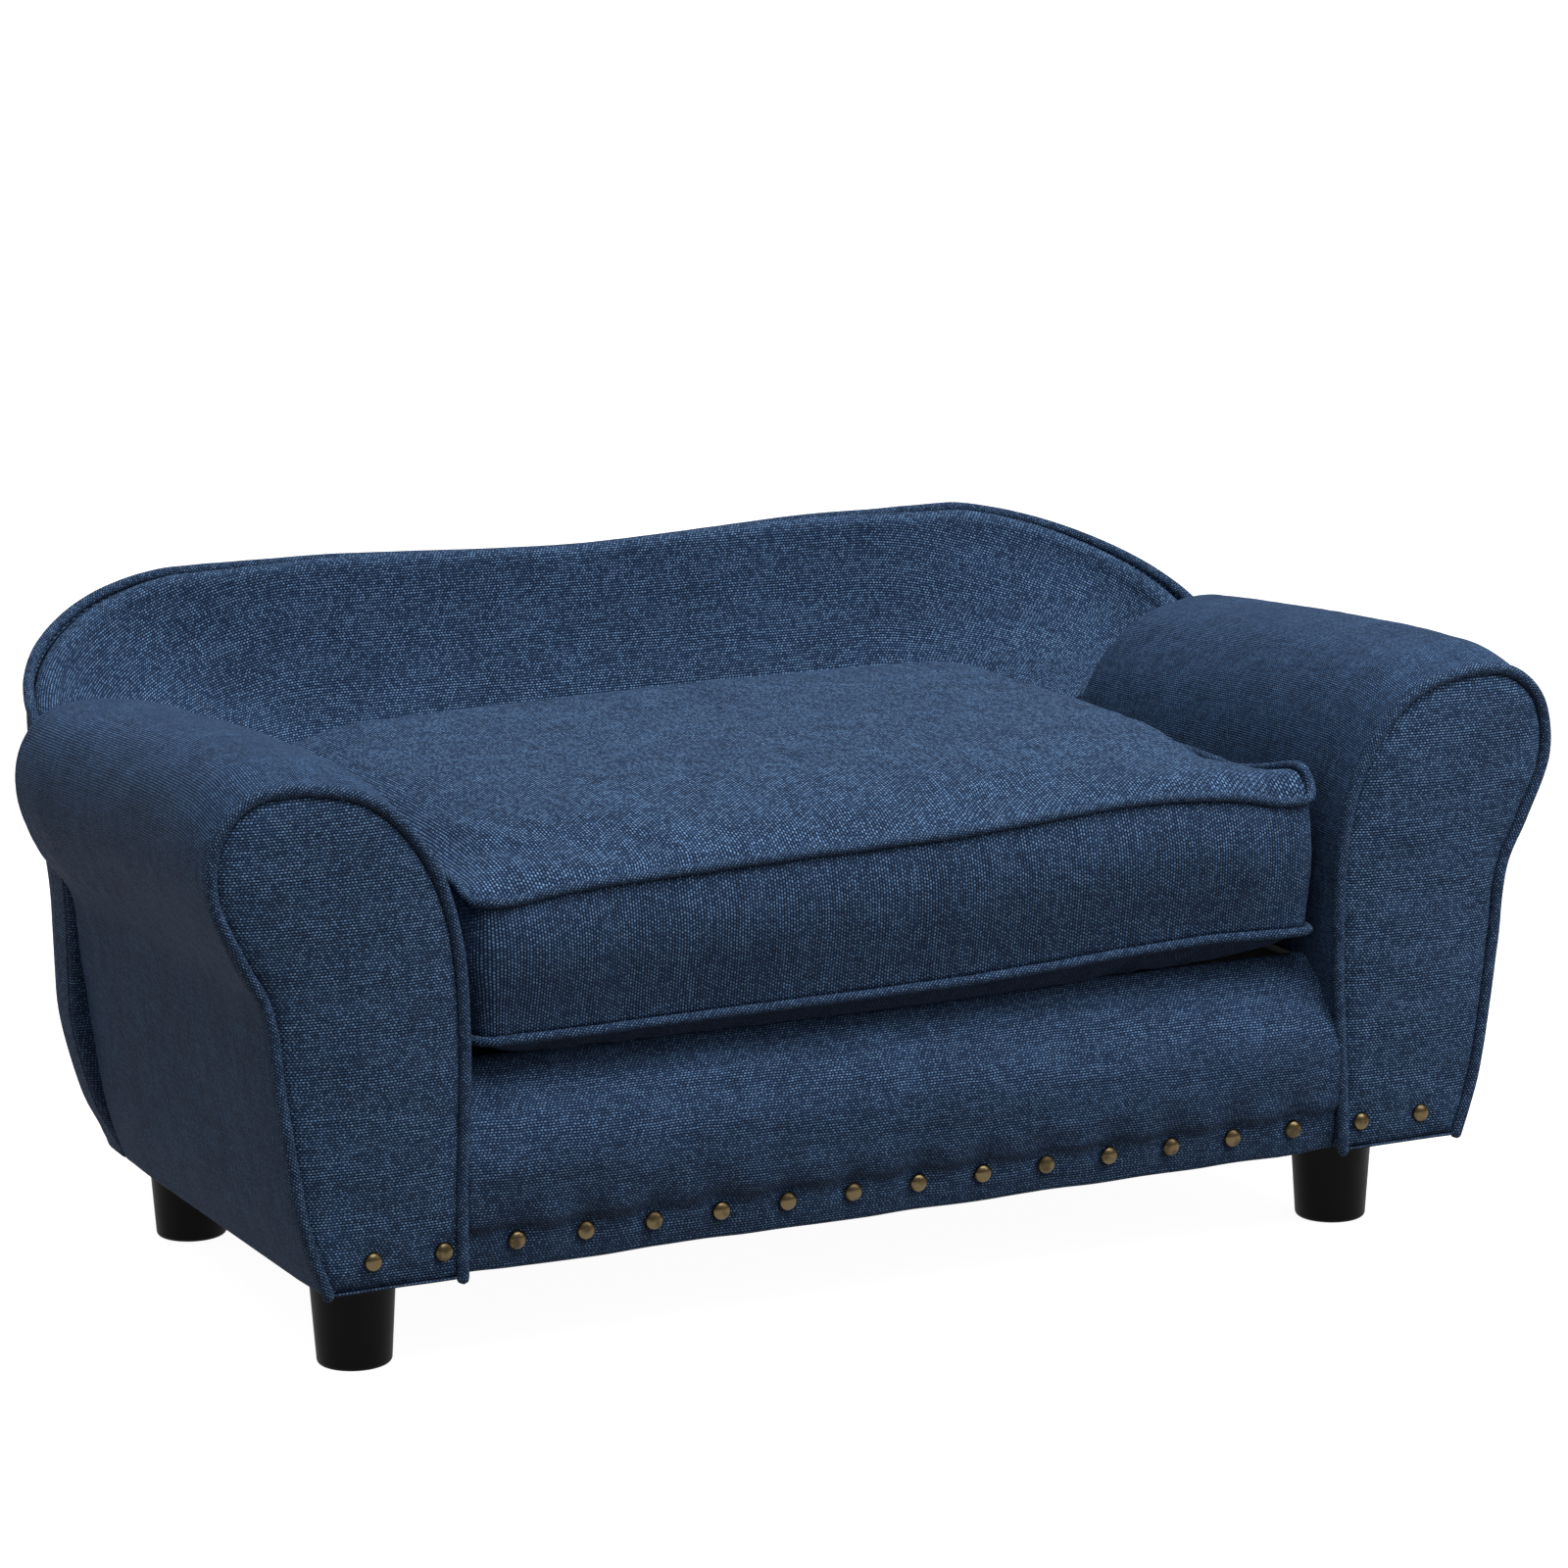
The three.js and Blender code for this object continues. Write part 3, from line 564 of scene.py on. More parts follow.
def weave(
    name, pitch, level, row_streak=0.3, column_streak=0.2, relief=0.3, fleck=FLECK, body=BODY, upright=False
):
    """Linen of mottled yarns: light stitches set like bricks on dark gaps, each a little different.
    The stitches lie along u, or along v where the cloth is turned upright."""
    shine = {"Sheen_Weight": 0.04, "Sheen_Roughness": 0.4, "Sheen_Tint": rgb(0.35, 0.5, 0.85)}
    material, tree, shader = new_material(name, 0.9, Specular_IOR_Level=0.12, **shine)
    uv, across, up = cloth_coordinates(tree, pitch[::-1] if upright else pitch)
    if upright:
        across, up = up, across
    row = up.maths("FLOOR")
    along = across + (row * 0.5 + chance_of(tree, "1D", W=row) * 0.3)
    column = along.maths("FLOOR")
    bump_across, bump_up = ((at * math.pi).maths("SINE").maths("ABSOLUTE") for at in (along, up))
    dome = bump_across.maths("POWER", 0.6) * bump_up
    cell = node(tree, "ShaderNodeCombineXYZ", {"X": column, "Y": row})
    chance = chance_of(tree, "2D", Vector=cell)
    rows = streaks(across, row, 1.7)
    columns = streaks(up, across.maths("FLOOR"), 5.2)
    cloud = cloth_noise(uv, 24.0, 3.0, 0.6)

    tone = (rows - 0.5) * (row_streak * STREAK_GAIN)
    tone = tone + (columns - 0.5) * (column_streak * STREAK_GAIN)
    tone = tone + (cloud - 0.5) * CLOUDING
    depth = (spread(dome, 0.2, 0.95) + tone).clamped()
    # level sets how many light stitches show; the low levels of the base, boxing and underside copies are
    # painted shade
    light = chance.maths("POWER", 1.2) * level * spread(dome, 0.42, 0.92)
    light = (light * (tone + 1.0)).clamped()
    feed(shader.inputs["Base Color"], blend(light, blend(depth, DARK, body), fleck))

    height = dome + cloth_noise(uv, 2600.0, 2.0) * 0.3
    height = height + chance * 0.3
    height = height + tone * 0.4
    add_bump(shader, height, relief, 0.9)
    return material


def wood(name, light, dark, grain):
    """Sawn wood with its grain along X."""
    material, tree, shader = new_material(name, 0.62)
    rings = object_noise(tree, grain, 4.0, (0.08, 1, 1))
    fine = object_noise(tree, grain * 9, 2.0, (0.04, 1, 1))
    share = (spread(rings, 0.35, 0.65) + fine * 0.3).clamped()
    feed(shader.inputs["Base Color"], blend(share, light, dark))
    add_bump(shader, fine, 0.3)
    return material


def foam_material():
    material, tree, shader = new_material("foam", 0.95)
    cells = object_noise(tree, 900.0, 2.0)
    colour = blend(spread(cells, 0.3, 0.6), rgb(0.62, 0.55, 0.38), rgb(0.82, 0.77, 0.62))
    feed(shader.inputs["Base Color"], colour)
    add_bump(shader, cells, 0.6)
    return material


def lining_material():
    """Black non-woven lining with its pressed dots."""
    material, tree, shader = new_material("lining", 0.9, Sheen_Weight=0.1)
    place = node(tree, "ShaderNodeTexCoord", output="Object")
    inputs = {"Vector": place, "Scale": 420.0, "Randomness": 0.15}
    pressed = spread(node(tree, "ShaderNodeTexVoronoi", inputs, "Distance"), 0.15, 0.4)
    fibres = object_noise(tree, 1500.0)
    colour = blend(pressed * fibres, rgb(0.006, 0.006, 0.007), rgb(0.028, 0.028, 0.031))
    feed(shader.inputs["Base Color"], colour)
    add_bump(shader, pressed + fibres, 0.25)
    return material


def plastic_material():
    """Satin black moulding with the faint grain of its mould."""
    material, tree, shader = new_material("foot_plastic", 0.5, Specular_IOR_Level=0.07)
    grain = object_noise(tree, 1400.0, 2.0)
    scuffs = object_noise(tree, 60.0, 4.0)
    colour = blend(spread(scuffs, 0.4, 0.75), rgb(0.0018, 0.0018, 0.0019), rgb(0.003, 0.003, 0.0032))
    feed(shader.inputs["Base Color"], colour)
    feed(shader.inputs["Roughness"], scuffs * 0.16 + 0.42)
    add_bump(shader, grain, 0.06, 0.5)
    return material


def metal(name, clean, tarnished, roughness, patch_scale):
    """Metal with darker, rougher patches."""
    material, tree, shader = new_material(name, roughness, Metallic=1.0)
    patches = object_noise(tree, patch_scale)
    share = spread(patches, 0.42, 0.68)
    feed(shader.inputs["Base Color"], blend(share, clean, tarnished))
    feed(shader.inputs["Roughness"], share * 0.22 + roughness)
    add_bump(shader, patches, 0.08, 0.5)
    return material


WEAVE = (1.9, 1.4)  # a stitch's length and the rows' distance, in mm
COARSE_WEAVE = (1.9, 1.6)
MATERIALS = {
    "panel": weave("blue_linen", WEAVE, 0.78),
    # painted shade: the base's linen has fewer light stitches and the shaded body, for the shade under the
    # cushion
    "base": weave("blue_linen_base_painted_shade", WEAVE, 0.56, body=SHADED_BODY),
    # painted shade: the back's linen takes the shaded body
    "back": weave("blue_linen_back", (1.9, 1.5), 0.73, 0.15, 0.15, 0.25, body=SHADED_BODY),
    "arm": weave("blue_linen_arm", (1.9, 1.15), 0.7, 0.3, 0.35, 0.2, ARM_FLECK, ARM_BODY),
    # painted shade: the cushion's boxing has fewer light stitches and the shaded body, darker than the
    # panels as if in shade
    "boxing": weave("blue_linen_boxing_painted_shade", COARSE_WEAVE, 0.6, body=SHADED_BODY, upright=True),
    "top": weave("blue_linen_cushion", (2.6, 1.6), 0.68, 0.3, 0.3, 0.35, upright=True),
    # painted shade: the cushion's underside is much darker, with few light stitches, for the deep shade
    # under it
    "underside": weave("blue_linen_underside_painted_shade", WEAVE, 0.2, body=UNDERSIDE_PAINTED_SHADE_BODY),
    # painted shade: the welts take the shaded body
    "welt": weave("welt_fabric", (1.7, 1.4), 0.7, fleck=WELT_FLECK, body=SHADED_BODY),
    "pine": wood("pine", rgb(0.62, 0.42, 0.21), rgb(0.42, 0.24, 0.10), 40.0),
    "plywood": wood("plywood", rgb(0.50, 0.34, 0.18), rgb(0.34, 0.21, 0.10), 25.0),
    "foam": foam_material(),
    "lining": lining_material(),
    "plastic": plastic_material(),
    "brass": metal("nail_brass", rgb(0.105, 0.078, 0.040), rgb(0.048, 0.036, 0.020), 0.24, 160.0),
    "zinc": metal("zipper_metal", rgb(0.30, 0.31, 0.33), rgb(0.12, 0.12, 0.13), 0.3, 420.0),
}


def dress(piece, material, slot, *nodes, body="sofa"):
    """Gives a piece its material, ties it to its body and lets it stand for CAD nodes; the slot is not
    used.
    """
    piece.data.materials.clear()
    piece.data.materials.append(MATERIALS[material])
    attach(piece, body)
    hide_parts(*nodes)
    return piece


# ---- arms ----


def arm_line(count, offset=0.0):
    """The arm panel's edge, moved out by a distance, as (distance from the middle, height)."""
    line = spline(ARM_EDGE, count)
    outward = normals(line)
    return line + outward * offset, outward


def place_arm(side, flat, y):
    """Points (distance from the middle, height) at depths y, for one side."""
    return np.stack([side * flat[..., 0], np.broadcast_to(y, flat.shape[:-1]), flat[..., 1]], axis=-1)


def arm_bow(ys, heights):
    """How much the roll rises behind the front panel and drops towards the back, by height."""
    along = ROLL_RISE * smoothstep(0, 40, ys - FRONT) - ROLL_FALL * smoothstep(-165, 120, ys)
    return along * smoothstep(190, 300, heights)


def arm_skin_points(side, depth, rows=112, columns=170):
    """Arm surface, depth below the cover's outer face: hollow behind the welt, rounded at the rear."""
    close_rows = np.linspace(FRONT + 1.0, FRONT + 22, 18)[:-1]
    ys = np.concatenate([close_rows, np.linspace(FRONT + 22, ARM_END, rows - 17)])
    flat, outward = arm_line(columns)
    hollow = 2.6 * np.exp(-((ys - ys[0]) / 3.4) ** 2)
    end_radius = mix(3.5, 16.0, smoothstep(222, 272, flat[:, 1]))[None]
    behind = np.clip((ys[:, None] - ARM_END + end_radius) / end_radius, 0, 1)
    rounding = end_radius * (1 - np.sqrt(1 - behind**2 * 0.98))
    swell = 1.2 * smoothstep(0, 40, ys - ys[0]) * smoothstep(0, 50, ARM_END - ys)
    offset = (ARM_SKIN - depth - hollow + swell)[:, None] - rounding
    rest = place_arm(side, flat[None] + outward[None] * offset[..., None], ys[:, None])
    waves = wander(rest * (1, 0.35, 1), 38, 1 + side) + wander(rest * (1, 2.2, 1), 30, 4 + side) * 0.45
    puckers = wander(rest * (1, 0.5, 1), 9, 7 + side) * 0.5 * np.exp(-((ys - ys[0]) / 9))[:, None]
    above_hem = smoothstep(0, 20, rest[..., 2] - HEM)
    offset = offset + waves * above_hem + puckers * above_hem
    outer = smoothstep(0.2, 0.8, outward[:, 0])[None] * smoothstep(190, 240, flat[:, 1])[None]
    offset = offset + REAR_WIDENING * outer * smoothstep(-60, 60, ys)[:, None]
    flat = flat[None] + outward[None] * offset[..., None]
    flat[..., 1] += arm_bow(ys[:, None], flat[..., 1])
    flat[..., 1] = np.maximum(flat[..., 1], HEM)
    back_share = np.clip((ys - FRONT) / (ARM_END - FRONT), 0, 1)[:, None]
    flat[..., 1] -= HEM_SAG * back_share * smoothstep(130, HEM, flat[..., 1]) * (outward[:, 0] > 0)[None]
    return place_arm(side, flat, ys[:, None]), ys


def build_arm_cover(side, name):
    """Wrap round the roll, with a cap that closes its rear end."""
    points, ys = arm_skin_points(side, 0.0)
    around = lengths(arm_line(points.shape[1])[0])
    u, v = np.meshgrid(around, ys)
    cover = surface(f"arm_cover_{name}", points, np.stack([v, u], axis=2), flip=side > 0)
    thicken(cover, CLOTH["arm"])
    net, faces, edge, _ = polygon_net(points[-1][:, [0, 2]], 7.0, (2.0, 5.0))
    y = ARM_END - 0.6 + 0.5 * smoothstep(0, 10, edge)
    cap = net_piece("cap", np.stack([net[:, 0], y, net[:, 1]], axis=1), faces, net)
    thicken(cap, CLOTH["arm"])
    cover = join(cover.name, [cover, cap])
    return dress(cover, "arm", "blue_linen", f"arm_cover_{name}")


def build_arm_foam(side, name):
    """Foam wrap under the cover: an inner and an outer skin joined into one closed body, which stops
    short of the cover's ends and lower edges."""
    outer, inner = (arm_skin_points(side, depth, 60, 90)[0][12:-8, 3:-5] for depth in ARM_FOAM)
    ring = np.concatenate([outer, inner[:, ::-1]], axis=1)
    foam = surface(f"arm_foam_{name}", ring, wrap=True)
    close_ends(foam, ring)
    return dress(foam, "foam", "foam", f"arm_foam_{name}")


def close_ends(piece, rings):
    """Closes the first and last ring of a lofted skin that runs out and back in equal steps."""
    rows, count = rings.shape[:2]

    def add_rungs(mesh):
        mesh.verts.ensure_lookup_table()
        for start in (0, (rows - 1) * count):
            for i in range(count // 2 - 1):
                corners = [start + i, start + i + 1, start + count - 2 - i, start + count - 1 - i]
                mesh.faces.new([mesh.verts[k] for k in corners])

    rework(piece, add_rungs)


def dimples(x, z, nails, depth, width):
    """How far the cloth is pulled in round a row of nails."""
    total = np.zeros(np.shape(x))
    for nail in nails:
        total = np.maximum(total, depth * np.exp(-((x - nail) ** 2 + (z - NAIL_Z) ** 2) / width**2))
    return total


def panel_rise(side, net, edge):
    """How far the padding of a front panel stands out, at each point and its distance from the edge:
    up from the groove beside the welt, domed higher up, folded and drawn in round the nails."""
    x, z = net[:, 0], net[:, 1]
    hem = smoothstep(0, 9, z - HEM)
    sides = np.minimum(edge, 60.0)
    domed = mix(1.6, 4.6, smoothstep(80, 170, z))
    rise = 2.9 * (1 - np.exp(-sides / 3.2)) + domed * (1 - np.exp(-sides / 24.0))
    rise = rise * mix(0.6, 1.0, hem)
    spots = place_arm(side, net, 0.0)
    rise = rise + wander(spots * (1, 1, 2.2), 34, 3 + side) * 0.55
    rise = rise + wander(spots * (0.5, 1, 3), 14, 9) * 0.22
    folds = wander(spots * (1.6, 1, 0.45), 7, 12 + side) * 0.9 * np.exp(-(((z - NAIL_Z) / 16) ** 2))
    rise = rise + folds * hem - dimples(x, z, ARM_NAILS, 2.4, 8.5)
    return np.clip(rise, 0.0, PANEL_PADDING)


def build_arm_panel(side, name):
    """Padded front panel with its lower edge turned under."""
    outline, _ = arm_line(230, 0.6)
    net, faces, edge, _ = polygon_net(outline, 4.0, (1.0, 2.0, 3.2, 4.6, 6.4, 8.6))
    points = place_arm(side, net, PANEL_BACK - panel_rise(side, net, edge))
    order = faces if side > 0 else [face[::-1] for face in faces]
    panel = net_piece(f"arm_front_panel_{name}", points, order, points[:, [0, 2]])
    merge(panel, 0.001)
    face_towards(panel, (0, -1, 0))
    thicken(panel, CLOTH["panel"])
    ends = sorted((outline[0, 0], outline[-1, 0]))
    xs = side * np.linspace(ends[0] + 0.4, ends[1] - 0.4, 40)
    hem = turned_hem(f"hem_{name}", xs, FRONT + 1.1, HEM - 0.2, 22.0)
    panel = join(panel.name, [panel, hem])
    return dress(panel, "panel", "blue_linen", f"arm_front_panel_{name}")


def turned_hem(name, xs, y, z, reach):
    """Cloth folded under the lower edge of a front, from its face back to where it is stapled."""
    turn = [(y - 1.4 * math.sin(a), z + 0.9 - 1.6 * math.cos(a)) for a in np.radians([100, 75, 50, 25, 0])]
    line = turn + [(y + reach * t, z - 0.7) for t in (0.15, 0.4, 0.7, 1.0)]
    points = np.array([[(x, *place) for x in xs] for place in line])
    points[..., 2] += wander(points, 25, 71) * 0.3
    return cloth(name, points, (0, 0, -1), CLOTH["hem"])


def build_arm_welt(side, name):
    """Cord round the front panel, with a short tail at its inner end."""
    line, outward = arm_line(420, WELT_OUT)
    tail = np.array([line[-1] + (0.2, -0.8), line[-1] + (0.5, -1.6)])
    flat = np.vstack([line, tail])
    path = place_arm(side, flat, FRONT + 1.2)
    path[:, 1] += wander(path, 55, 2 + side) * 0.35
    path[:, 0] += wander(path, 40, 5 + side) * 0.3
    welt = make_cord(f"arm_welt_{name}", path, WELT + 0.1, seed=side, up=(0, 1, 0))
    return dress(welt, "welt", "welt_fabric", f"arm_welt_{name}")


# ---- back ----

OUTER_PLAN = {"half": 356.0, "rear": REAR, "radius": 114.0}
INNER_PLAN = {"half": 246.5, "rear": 177.0, "radius": 80.0}
REAR_SHARE = 0.45  # share of the way from the middle to an end where the outer line starts to turn
TURN_TO = 0.85  # and where it has turned the corner
RIM_TOP = BACK_TOP + 1.5
RIM_DROP = 58.0  # fall of the rim round the corners
SIDE_DROP = 7.0  # and along the sides
RIM_DIP = 6.0  # shallow dip in its middle
DIP_TO = 0.32  # share where the dip ends
RIM_FLARE = 3.5  # how far the rim stands out at the sides
REAR_RAKE = 36.0  # how far the rear leans in from rim to hem
TUCK_FROM = 140.0  # height below which the sides come in towards the hem
SIDE_TUCK = 14.0  # and how far
SIDE_WAIST = 7.0  # how far they stand in below the waist
WAIST = (185.0, 265.0)  # heights between which the waist fades out
CORNER_TUCK = 9.0  # how far the lower corners are rounded in
SHELL = 5.0  # thickness of the bent plywood
SHELL_BELOW_RIM = 27.0
SHELL_INSET = 3.4  # and its distance from the outside of the back
FLAP_LIMIT = 340.0  # the inner cover's tucked ends stay inside the rear cover
REAR_FLAP = 34.0  # how far the rear cover's ends run in behind the arms
FLAP_TURN = 4.0  # radius with which they turn the corner
RIM_ROLL = 7.5  # radius of the padding round the rim
CREASE = 12.0  # how deep the padding is drawn in where the back meets the arms
BACK_FOAM = (2.6, 10.0)  # the foam's distances from the inner cover and from the outside of the back


def plan_points(shares, plan):
    """Places on a U and the ways out: share -1 is its left end, 0 the middle, 1 its right end."""
    side = np.where(shares < 0, -1.0, 1.0)
    t = np.abs(shares)
    straight = plan["half"] - plan["radius"]
    turn_y = plan["rear"] - plan["radius"]
    turn_from = REAR_SHARE * straight / (OUTER_PLAN["half"] - OUTER_PLAN["radius"])
    turn = np.clip((t - turn_from) / (TURN_TO - turn_from), 0, 1) * math.pi / 2
    outward = np.stack([side * np.sin(turn), np.cos(turn)], axis=1)
    place = np.stack([side * straight, np.full(len(t), turn_y)], axis=1) + outward * plan["radius"]
    place[:, 0] = np.where(t < turn_from, place[:, 0] * t / turn_from, place[:, 0])
    along = (t - TURN_TO) / (1 - TURN_TO)
    place[:, 1] = np.where(t > TURN_TO, mix(turn_y, ARM_END + 0.6, along), place[:, 1])
    return place, outward


def corner_turn(shares):
    """How far the outer line has turned the corner, from 0 on the rear to 1 on the side."""
    return np.clip((np.abs(shares) - REAR_SHARE) / (TURN_TO - REAR_SHARE), 0, 1)


def rim_height(shares):
    """Top of the back's rim: a shallow dip in the middle, then a fall round each corner."""
    along_side = np.clip((np.abs(shares) - TURN_TO) / (1 - TURN_TO), 0, 1)
    dip = RIM_DIP * (1 - smoothstep(0, DIP_TO, np.abs(shares)))
    return RIM_TOP - RIM_DROP * corner_turn(shares) ** 1.48 - SIDE_DROP * along_side - dip


def back_shares(count):
    """Evenly spaced shares by length along the rim."""
    dense = np.linspace(-1, 1, 801)
    along = lengths(plan_points(dense, OUTER_PLAN)[0])
    return np.interp(np.linspace(0, along[-1], count), along, dense)


def outside_of_back(shares, z, distance=0.0):
    """Outside of the back at heights z (one row each), moved in by a distance."""
    place, outward = plan_points(shares, OUTER_PLAN)
    rearward = np.cos(corner_turn(shares) * math.pi / 2)
    lean = REAR_RAKE * (BACK_TOP - z) / (BACK_TOP - HEM)
    waist = SIDE_WAIST * (1 - smoothstep(*WAIST, z))
    rounded = CORNER_TUCK * smoothstep(HEM + 34, HEM - HEM_SAG, z) ** 2
    flare = RIM_FLARE * smoothstep(245, 300, z)
    tuck = SIDE_TUCK * smoothstep(0, TUCK_FROM - HEM, TUCK_FROM - z) + waist + rounded - flare
    inward = rearward * lean + (1 - rearward) * tuck + distance
    flat = place[None] - outward[None] * inward[..., None]
    return np.concatenate([flat, np.broadcast_to(z, inward.shape)[..., None]], axis=2)


def rear_cover_points():
    """Outside of the back as cloth, closer rows at its hem and its top."""
    shares = back_shares(260)
    top = rim_height(shares) - 5.2
    parts = ((0, 0.06, 7), (0.06, 0.93, 40), (0.93, 1.0, 9))
    rows = np.concatenate([*[np.linspace(*part)[:-1] for part in parts], [1.0]])
    low = HEM - HEM_SAG * mix(0.4, 1.0, smoothstep(0.45, 0.9, np.abs(shares)))
    z = low + (top - low)[None] * rows[:, None]
    hem = 1.4 * (1 - smoothstep(0, 7, z - low))
    tucked = 3.0 * smoothstep(8, 0, top[None] - z) ** 2
    rest = outside_of_back(shares, z)
    waves = wander(rest * (1, 1, 0.5), 60, 11) + wander(rest * (1, 1, 0.35), 22, 12) * 0.3
    waves = waves * smoothstep(0, 25, z - HEM) * smoothstep(0, 20, top[None] - z)
    pad = 1.5 * smoothstep(0, 40, z - HEM) * smoothstep(0, 40, top[None] - z)
    return outside_of_back(shares, z, hem + tucked - waves - pad)


def turn_in_ends(points):
    """Adds columns at both ends of the rear cover that turn in and run along behind the arms."""
    sides = []
    for end in (0, -1):
        edge = points[:, end]
        inwards = np.array([-np.sign(edge[0, 0]), 0, 0])
        columns = []
        for angle in np.linspace(0.2, math.pi / 2, 6):
            forwards = np.array([0, -FLAP_TURN * math.sin(angle), 0])
            columns.append(edge + (inwards * FLAP_TURN * (1 - math.cos(angle)) + forwards))
        turned_in = columns[-1]
        for reach in np.linspace(0.2, 1, 5):
            columns.append(turned_in + inwards * REAR_FLAP * reach)
        columns = np.stack(columns, axis=1)
        columns[..., 1] += FLAP_TURN
        sides.append(columns)
    moved = points.copy()
    moved[:, [0, -1], 1] += FLAP_TURN
    turned = np.concatenate([sides[0][:, ::-1], moved, sides[1]], axis=1)
    flap = len(sides[0][0])
    for columns in (slice(0, flap), slice(-flap, None)):
        turned[:, columns, 1] -= 0.4
    return turned


def build_rear_cover():
    points = rear_cover_points()
    cover = cloth("rear_cover", turn_in_ends(points), (0, 1, 0), CLOTH["rear"])
    cover = join(cover.name, [cover, rear_hem(points[0])])
    return dress(cover, "back", "blue_linen", "rear_cover")


def rear_hem(edge):
    """Strip from the rear cover's lower edge, turned in under the frame."""
    outward = plan_points(back_shares(len(edge)), OUTER_PLAN)[1]
    inward = np.column_stack([-outward, np.zeros(len(outward))])
    turn = ((0.0, 0.4), (1.0, 0.0), (5.0, 0.5), (11.0, 1.0), (17.0, 1.4))
    points = np.stack([edge + inward * reach + (0, 0, rise) for reach, rise in turn])
    return cloth("rear_hem", points, (0, 0, -1), CLOTH["hem"])


def pad_rise(shares):
    """How far the padding stands above the welt: higher in the middle, lower round the corners."""
    return mix(1.2, -3.4, smoothstep(0.12, 0.52, np.abs(shares)))


def inner_cover_points(shares, depth=0.0):
    """Seat side of the back: upright behind the cushion, a padded slope, then over the rim's edge."""
    inner, inner_out = plan_points(shares, INNER_PLAN)
    rim, rim_out = plan_points(shares, OUTER_PLAN)
    flare = RIM_FLARE * (1 - np.cos(corner_turn(shares) * math.pi / 2))
    centre = rim + rim_out * (flare - WELT_OUT - WELT - RIM_ROLL + 0.5)[:, None]
    centre_z = rim_height(shares) + pad_rise(shares) - RIM_ROLL
    radius = RIM_ROLL - depth
    foot = np.column_stack([inner + inner_out * depth, np.full(len(shares), SEAT_LINE)])
    brow = np.column_stack([centre - rim_out * radius, centre_z])
    chord = brow - foot
    size = np.linalg.norm(chord, axis=1, keepdims=True)
    outward = np.column_stack([inner_out, np.zeros(len(shares))])
    leave = unit(chord / size + outward * 0.34) * size * 0.34
    arrive = unit(chord / size + np.array([0, 0, 0.9])) * size * 0.34
    rows = []
    for z in np.linspace(SEAT_BASE, SEAT_LINE, 10)[:-1]:
        low = foot.copy()
        low[:, 2] = z
        rows.append(low)
    rows += bezier(foot, leave, arrive, brow, 40)
    rim_rows = 16
    for angle in np.linspace(0, math.radians(205), rim_rows):
        flat = centre - rim_out * (radius * math.cos(angle))
        rows.append(np.column_stack([flat, centre_z + radius * math.sin(angle)]))
    points = np.stack(rows)
    waves = wander(points * (1, 1, 0.6), 55, 21) * 1.1 + wander(points * (1, 1, 2.0), 26, 22) * 0.3
    fade = smoothstep(0, 30, points[..., 2] - 235)
    fade[-rim_rows:] *= 0.35
    crease = CREASE * smoothstep(TURN_TO, 1.0, np.abs(shares)) * smoothstep(230, 262, points[..., 2])
    crease[-rim_rows:] *= 0.3
    return points - outward[None] * (waves * fade - crease)[..., None]


def tuck_behind_arms(points):
    """Adds columns at both ends of the inner cover that run outwards behind the arms' rear ends."""
    flaps = []
    for end in (0, -1):
        edge = points[:, end]
        side = np.sign(edge[0, 0])
        reach = np.clip(FLAP_LIMIT - np.abs(edge[:, 0]), 0.3, 30.0)[:, None]
        columns = [edge + np.array([side, 0, 0]) * reach * share for share in (0.04, 0.12, 0.3, 0.6, 1.0)]
        flaps.append(np.stack(columns, axis=1))
    return np.concatenate([flaps[0][:, ::-1], points, flaps[1]], axis=1)


def build_inner_cover():
    points = tuck_behind_arms(inner_cover_points(back_shares(250)))
    cover = cloth("back_inner_cover", points, (0, -1, 0), CLOTH["back"])
    return dress(cover, "back", "blue_linen", "back_inner_cover")


def build_back_foam():
    """Padding between the two covers of the back, as one closed body."""
    shares = back_shares(120)[2:-2]
    near = inner_cover_points(shares, BACK_FOAM[0])[:-3]
    top = rim_height(shares) - 12
    z = mix(SEAT_BASE, top[None], np.linspace(0, 1, 30)[:, None])
    far = outside_of_back(shares, z, BACK_FOAM[1])
    section = np.concatenate([near, far[::-1]], axis=0).transpose(1, 0, 2)
    foam = surface("back_foam", section, wrap=True)
    close_holes(foam)
    return dress(foam, "foam", "foam", "back_foam")


def build_back_shell():
    """Bent plywood behind the padding, short of the cover's turned ends and hem."""
    shares = back_shares(160)[3:-3]
    z = mix(HEM + 8, (rim_height(shares) - SHELL_BELOW_RIM)[None], np.linspace(0, 1, 24)[:, None])
    outer = outside_of_back(shares, z, SHELL_INSET)
    inner = outside_of_back(shares, z, SHELL_INSET + SHELL)
    section = np.concatenate([outer, inner[::-1]], axis=0).transpose(1, 0, 2)
    shell = surface("back_shell_bent", section, wrap=True)
    close_holes(shell)
    shade(shell.data, False)
    return dress(shell, "plywood", "plywood", "back_shell")


def build_back_welt():
    """Cord along the rim of the back."""
    shares = back_shares(520)
    z = (rim_height(shares) - WELT)[None]
    path = outside_of_back(shares, np.full_like(z, BACK_TOP), WELT_OUT)[0]
    path[:, 2] = z[0] + wander(path, 60, 31) * 0.4
    path[[0, -1], 1] += 1.0
    welt = make_cord("back_welt", path, WELT + 0.1, seed=3.0)
    return dress(welt, "welt", "welt_fabric", "back_welt")


# ---- base ----


